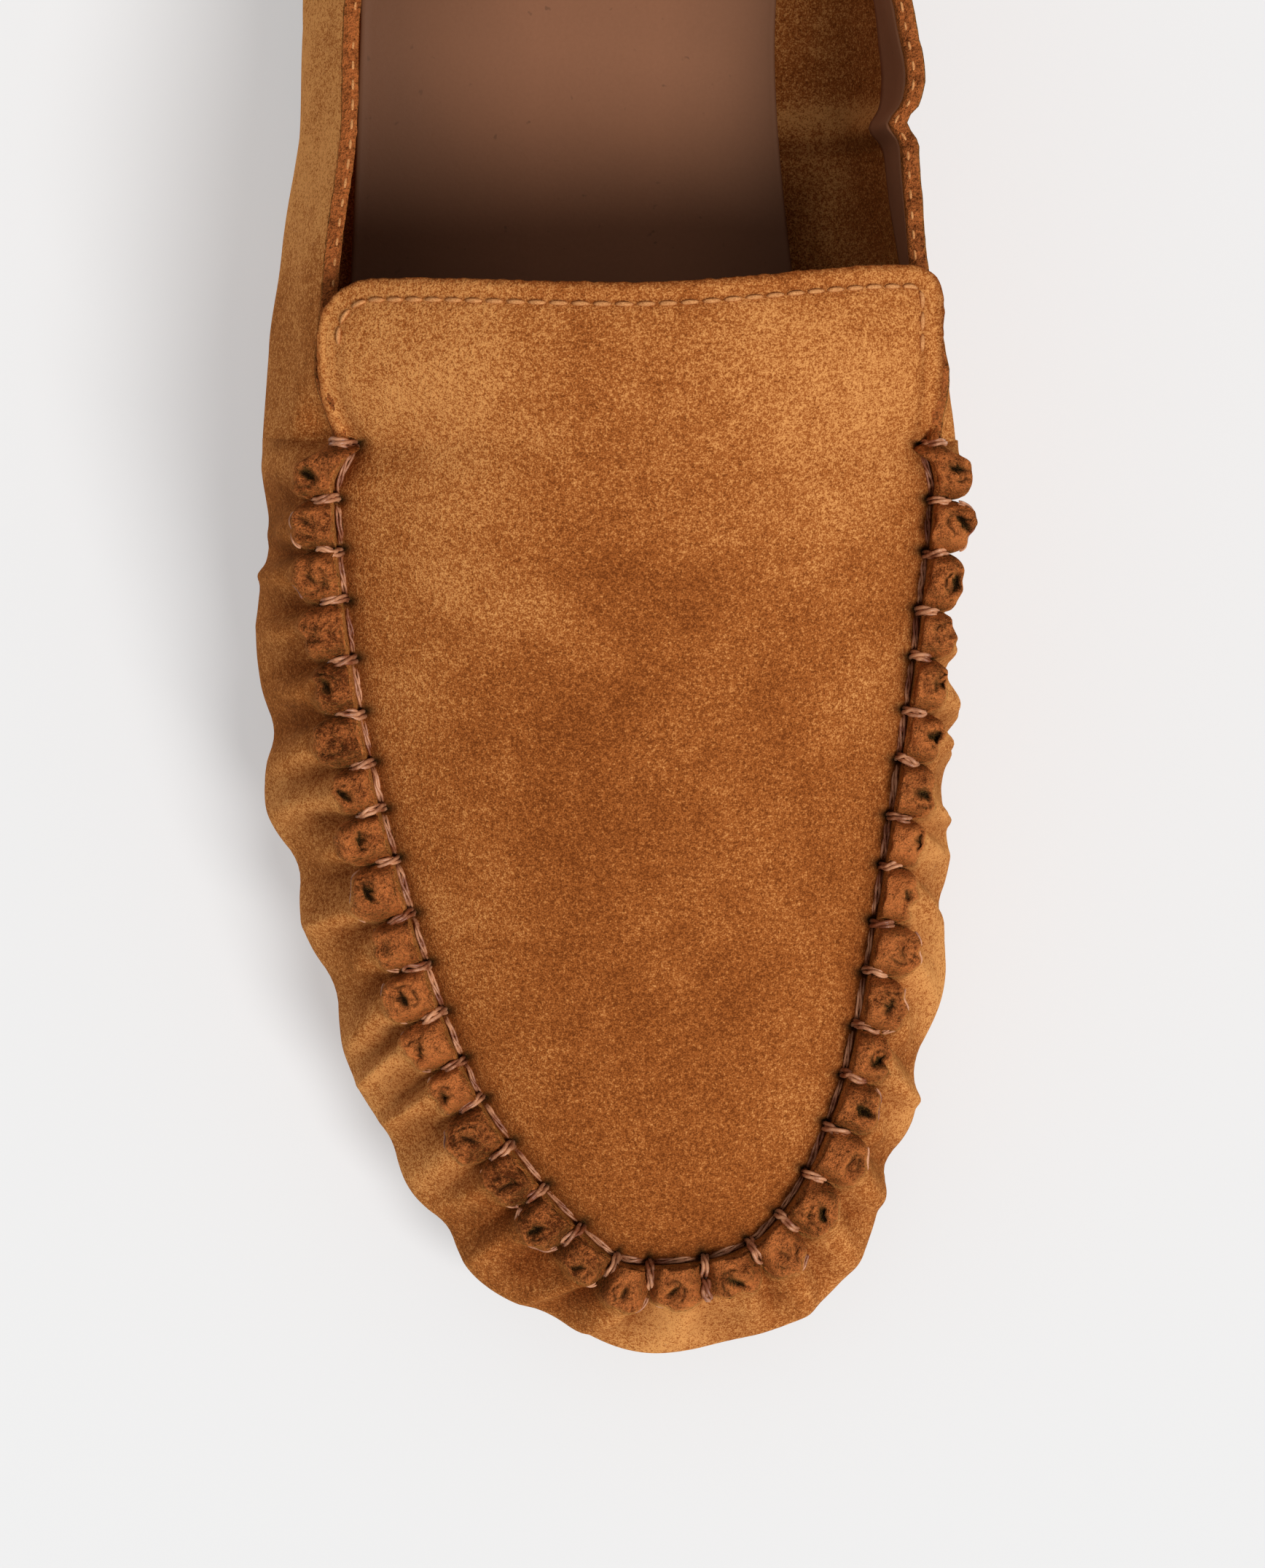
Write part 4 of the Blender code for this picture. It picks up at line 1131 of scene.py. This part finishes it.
class Shader:
    """A Principled material under construction, with short calls for its nodes."""

    def __init__(self, name):
        self.material = bpy.data.materials.new(name)
        self.material.use_nodes = True
        self.tree = self.material.node_tree
        self.base = self.tree.nodes["Principled BSDF"]
        self.coordinates = self.tree.nodes.new("ShaderNodeTexCoord").outputs["Object"]

    def put(self, socket, value):
        if isinstance(value, bpy.types.NodeSocket):
            self.tree.links.new(value, socket)
        else:
            socket.default_value = value

    def noise(self, size, detail=2.0, roughness=0.5, distortion=0.0, vector=None):
        """Noise whose features are about size millimetres across."""
        node = self.tree.nodes.new("ShaderNodeTexNoise")
        self.put(node.inputs["Vector"], vector or self.coordinates)
        self.put(node.inputs["Scale"], 1 / (size * MM))
        self.put(node.inputs["Detail"], detail)
        self.put(node.inputs["Roughness"], roughness)
        self.put(node.inputs["Distortion"], distortion)
        return node.outputs["Fac"]

    def stretched(self, x, y, z):
        node = self.tree.nodes.new("ShaderNodeMapping")
        self.put(node.inputs["Vector"], self.coordinates)
        node.inputs["Scale"].default_value = (x, y, z)
        return node.outputs["Vector"]

    def maths(self, operation, a, b=0.0, clamp=False):
        node = self.tree.nodes.new("ShaderNodeMath")
        node.operation = operation
        node.use_clamp = clamp
        self.put(node.inputs[0], a)
        self.put(node.inputs[1], b)
        return node.outputs[0]

    def spread(self, value, low, high, to_low=0.0, to_high=1.0):
        node = self.tree.nodes.new("ShaderNodeMapRange")
        for socket, given in zip(node.inputs[:5], (value, low, high, to_low, to_high)):
            self.put(socket, given)
        return node.outputs[0]

    def mix(self, share, a, b, kind="MIX"):
        node = self.tree.nodes.new("ShaderNodeMix")
        node.data_type = "RGBA"
        node.blend_type = kind
        self.put(node.inputs[0], share)
        for socket, value in ((node.inputs[6], a), (node.inputs[7], b)):
            self.put(socket, value if isinstance(value, bpy.types.NodeSocket) else (*value, 1.0))
        return node.outputs[2]

    def mark(self, name):
        node = self.tree.nodes.new("ShaderNodeAttribute")
        node.attribute_name = name
        return node.outputs["Fac"]

    def bump(self, height, distance, strength=1.0, below=None):
        node = self.tree.nodes.new("ShaderNodeBump")
        self.put(node.inputs["Height"], height)
        self.put(node.inputs["Distance"], distance * MM)
        self.put(node.inputs["Strength"], strength)
        if below:
            self.put(node.inputs["Normal"], below)
        return node.outputs["Normal"]

    def finish(self, colour, roughness, normal=None, **others):
        self.put(self.base.inputs["Base Color"], colour if isinstance(colour, bpy.types.NodeSocket)
                 else (*colour, 1.0))
        self.put(self.base.inputs["Roughness"], roughness)
        if normal:
            self.put(self.base.inputs["Normal"], normal)
        for name, value in others.items():
            self.put(self.base.inputs[name.replace("_", " ")], value)
        return self.material


def made_once(name, build):
    return bpy.data.materials.get(name) or build(Shader(name))


SUEDE_LIGHT = (0.72, 0.315, 0.095)
SUEDE_MID = (0.372, 0.106, 0.022)
SUEDE_DARK = (0.165, 0.040, 0.0075)
RAW_LIGHT = (0.68, 0.205, 0.055)
RAW_DARK = (0.12, 0.027, 0.007)


def suede(name, streak=0.0):
    """Brushed nap: patches laid light or dark, fibres at the scale of a hair, darker cut edges."""
    def build(s):
        along = s.stretched(1.0, 1.0, 1.0 - streak)
        patch = s.noise(26.0, 3.0, 0.5, 0.8)
        brushed = s.noise(6.0, 3.0, 0.55, 0.8, along)
        tuft = s.noise(0.5, 2.0, 0.5, 0.2, along)
        mottle = s.noise(2.0, 2.0, 0.5, 0.4, along)
        fibre = s.noise(0.21, 1.5, 0.5, 0.2, along)
        coarse = s.maths("ADD", s.spread(patch, 0.3, 0.7, -0.13, 0.13), s.spread(brushed, 0.3, 0.7, -0.08, 0.08))
        coarse = s.maths("ADD", coarse, s.spread(mottle, 0.25, 0.75, -0.05 - 0.12 * streak, 0.05 + 0.12 * streak))
        fine = s.maths("ADD", s.spread(tuft, 0.2, 0.8, -0.34, 0.34), s.spread(fibre, 0.2, 0.8, -0.5, 0.5))
        # The tone mark carries painted light and shade as well as random tone.
        tone_and_painted_light = s.maths("MULTIPLY", s.mark("tone"), 0.30)
        tone = s.maths("ADD", s.maths("ADD", coarse, fine), s.maths("ADD", tone_and_painted_light, 0.5), clamp=True)
        low = s.mix(s.spread(tone, 0.0, 0.5), SUEDE_DARK, SUEDE_MID)
        nap = s.mix(s.spread(tone, 0.5, 1.0), low, SUEDE_LIGHT)
        cut_fibre = s.maths("ADD", s.maths("MULTIPLY", s.noise(0.25, 2.0, 0.6), 0.45),
                            s.maths("MULTIPLY", s.noise(0.55, 3.0, 0.6), 0.55))
        lifted = s.maths("ADD", cut_fibre, s.spread(s.noise(2.4, 1.0), 0.35, 0.65, -0.05, 0.05))
        lifted = s.maths("ADD", lifted, s.maths("MULTIPLY", s.mark("tone"), 0.05))
        cut = s.mix(s.spread(lifted, 0.37, 0.63), RAW_DARK, RAW_LIGHT)
        edge = s.spread(s.maths("ADD", s.mark("raw"), s.maths("MULTIPLY", s.noise(0.9, 2.0), 0.5)), 0.55, 1.05)
        colour = s.mix(edge, nap, cut)
        # The shade mark: painted shade in hollows, creases and grooves, and the darker colour of some cut edges.
        painted_shade = s.mix(1.0, colour, (0.40, 0.27, 0.20), "MULTIPLY")
        colour = s.mix(s.maths("MULTIPLY", s.mark("shade"), 0.75), colour, painted_shade)
        # Painted shade in holes, slits and notches: near black.
        colour = s.mix(s.mark("hole"), colour, (0.010, 0.004, 0.002))
        height = s.maths("ADD", s.maths("MULTIPLY", fibre, 0.7), s.maths("MULTIPLY", tuft, 0.9))
        nap_normal = s.bump(height, 0.22, 0.8)
        rough = s.bump(s.maths("MULTIPLY", cut_fibre, edge), 1.0, 1.0, nap_normal)
        return s.finish(colour, 1.0, rough, Sheen_Weight=0.2, Sheen_Roughness=0.4,
                        Sheen_Tint=(1.0, 0.5, 0.12, 1.0), Specular_IOR_Level=0.02)
    return made_once(name, build)


def lining_leather(name, light=1.0):
    """Smooth lining leather with small dark specks. light scales its colour as painted light; at 1.0 or less the colour
    also darkens away from the middle as painted shade.
    """
    def build(s):
        patch = s.noise(38.0, 3.0, 0.55, 0.5)
        pore = s.noise(0.5, 2.0, 0.6)
        crease = s.noise(2.2, 4.0, 0.6, 0.5)
        tone = s.maths("ADD", s.spread(patch, 0.3, 0.7, 0.25, 0.75), s.spread(pore, 0.3, 0.7, -0.08, 0.08))
        specks_and_side_shade = s.spread(s.noise(1.6, 2.0, 0.6), 0.24, 0.30, 0.5, 1.0)
        # Painted shade: darker away from the middle, towards both sides.
        if light <= 1.0:
            across = s.tree.nodes.new("ShaderNodeSeparateXYZ")
            s.put(across.inputs[0], s.coordinates)
            aside = s.maths("ABSOLUTE", s.maths("ADD", across.outputs[0], 1.5 * MM))
            specks_and_side_shade = s.maths("MULTIPLY", specks_and_side_shade, s.spread(aside, 8 * MM, 26 * MM, 1.0, 0.45))
        colour = s.mix(tone, (0.21 * light, 0.085 * light, 0.041 * light), (0.29 * light, 0.122 * light, 0.060 * light))
        colour = s.mix(specks_and_side_shade, (0.10, 0.045, 0.022), colour)
        normal = s.bump(s.maths("ADD", s.maths("MULTIPLY", pore, 0.5), crease), 0.09, 0.5)
        return s.finish(colour, s.spread(patch, 0.3, 0.7, 0.62, 0.72), normal, Specular_IOR_Level=0.18)
    return made_once(name, build)


def waxed_thread():
    def build(s):
        fibre = s.noise(0.2, 2.0, 0.6)
        patch = s.noise(3.2, 3.0, 0.6)
        tone = s.maths("ADD", s.spread(fibre, 0.3, 0.7, 0.25, 0.65), s.spread(patch, 0.38, 0.62, -0.5, 0.55))
        colour = s.mix(tone, (0.22, 0.060, 0.022), (0.66, 0.31, 0.155))
        return s.finish(colour, 0.42, s.bump(fibre, 0.06, 0.6), Specular_IOR_Level=0.45)
    return made_once("waxed_thread", build)


def sewing_thread():
    def build(s):
        fibre = s.noise(0.2, 2.0, 0.6)
        colour = s.mix(s.spread(fibre, 0.3, 0.7), (0.42, 0.150, 0.040), (0.78, 0.36, 0.13))
        return s.finish(colour, 0.7, s.bump(fibre, 0.05, 0.6), Specular_IOR_Level=0.2)
    return made_once("sewing_thread", build)


def sole_rubber():
    def build(s):
        speck = s.noise(0.8, 2.0)
        scuff = s.noise(9.0, 4.0, 0.65)
        colour = s.mix(s.spread(scuff, 0.35, 0.75), (0.040, 0.021, 0.013), (0.085, 0.047, 0.030))
        ribs = s.tree.nodes.new("ShaderNodeTexWave")
        ribs.bands_direction = "Y"
        s.put(ribs.inputs["Vector"], s.coordinates)
        s.put(ribs.inputs["Scale"], 2 * np.pi / (20 * 2.6 * MM))
        height = s.maths("ADD", s.maths("MULTIPLY", speck, 0.25), ribs.outputs["Fac"])
        return s.finish(colour, s.spread(scuff, 0.3, 0.7, 0.55, 0.75), s.bump(height, 0.35, 0.8))
    return made_once("outsole_finish", build)


def stacked_leather():
    def build(s):
        layers = s.noise(1.1, 1.0, 0.4, 0.0, s.stretched(0.05, 0.05, 1.0))
        fibre = s.noise(0.7, 3.0, 0.6)
        tone = s.maths("ADD", s.spread(layers, 0.35, 0.65, 0.1, 0.8), s.spread(fibre, 0.3, 0.7, -0.15, 0.15))
        colour = s.mix(tone, (0.07, 0.03, 0.014), (0.19, 0.085, 0.04))
        return s.finish(colour, 0.5, s.bump(layers, 0.15, 0.6))
    return made_once("stacked_leather_finish", build)


def plain_inner(name, light, dark, size, roughness, metallic=0.0):
    """The finish of a hidden layer: foam, board or steel."""
    def build(s):
        speck = s.noise(size, 3.0, 0.65)
        colour = s.mix(s.spread(speck, 0.3, 0.7), dark, light)
        return s.finish(colour, roughness, s.bump(speck, 0.2, 0.6), Metallic=metallic)
    return made_once(name, build)


def finish_inner_layers():
    foam = plain_inner("foam_finish", (0.72, 0.62, 0.45), (0.5, 0.4, 0.27), 0.9, 0.95)
    board = plain_inner("board_finish", (0.42, 0.30, 0.18), (0.28, 0.19, 0.11), 1.5, 0.85)
    steel = plain_inner("steel_finish", (0.6, 0.6, 0.62), (0.45, 0.45, 0.47), 2.5, 0.35, 1.0)
    finishes = {"forepart_foam": foam, "heel_foam": foam, "insole_board": board, "heel_counter": board,
                "shank": steel}
    for node, finish in finishes.items():
        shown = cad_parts[node]
        shown.data.materials.clear()
        shown.data.materials.append(finish)


# ---------------------------------------------------------------- stage, light and camera

def make_stage():
    mesh = bpy.data.meshes.new("floor")
    side = 3.0
    mesh.from_pydata([(-side, -side, 0), (side, -side, 0), (side, side, 0), (-side, side, 0)], [],
                     [(0, 1, 2, 3)])
    floor = bpy.data.objects.new("floor", mesh)
    bpy.context.scene.collection.objects.link(floor)

    def build(s):
        return s.finish((0.46, 0.46, 0.46), 1.0, Specular_IOR_Level=0.0, Emission_Strength=0.405,
                        Emission_Color=(1.0, 1.0, 1.0, 1.0))
    mesh.materials.append(made_once("floor_paint", build))


def make_light():
    world = bpy.data.worlds.new("studio")
    bpy.context.scene.world = world
    world.use_nodes = True
    world.node_tree.nodes["Background"].inputs["Color"].default_value = (1.0, 1.0, 1.0, 1.0)
    world.node_tree.nodes["Background"].inputs["Strength"].default_value = 0.38
    sun = bpy.data.objects.new("window", bpy.data.lights.new("window", "SUN"))
    sun.data.energy = 2.4
    sun.data.angle = 0.42
    sun.data.color = (1.0, 1.0, 1.0)
    toward = Vector((-0.45, 0.42, -1.0))
    sun.rotation_euler = toward.to_track_quat("-Z", "Y").to_euler()
    bpy.context.scene.collection.objects.link(sun)
    bpy.context.scene.view_settings.view_transform = "Standard"
    bpy.context.scene.view_settings.look = "None"


def make_camera():
    """Straight above the forepart, a metre up, with a frame 207 mm high on the floor."""
    data = bpy.data.cameras.new("camera")
    height, framed = 1.0, 0.2072
    data.sensor_width = 36.0
    data.lens = data.sensor_width * height / framed
    camera = bpy.data.objects.new("camera", data)
    camera.location = (2.9 * MM, -53.0 * MM, height)
    bpy.context.scene.collection.objects.link(camera)
    bpy.context.scene.camera = camera


def main():
    make_wrap()
    make_apron()
    make_apron_lining()
    make_outsole()
    make_sock()
    make_heel()
    make_collar_linings()
    make_heel_lining()
    make_backstay()
    make_threads()
    make_topline_stitches()
    make_tongue_stitches()
    make_backstay_stitches()
    finish_inner_layers()
    make_stage()
    make_light()
    make_camera()


main()
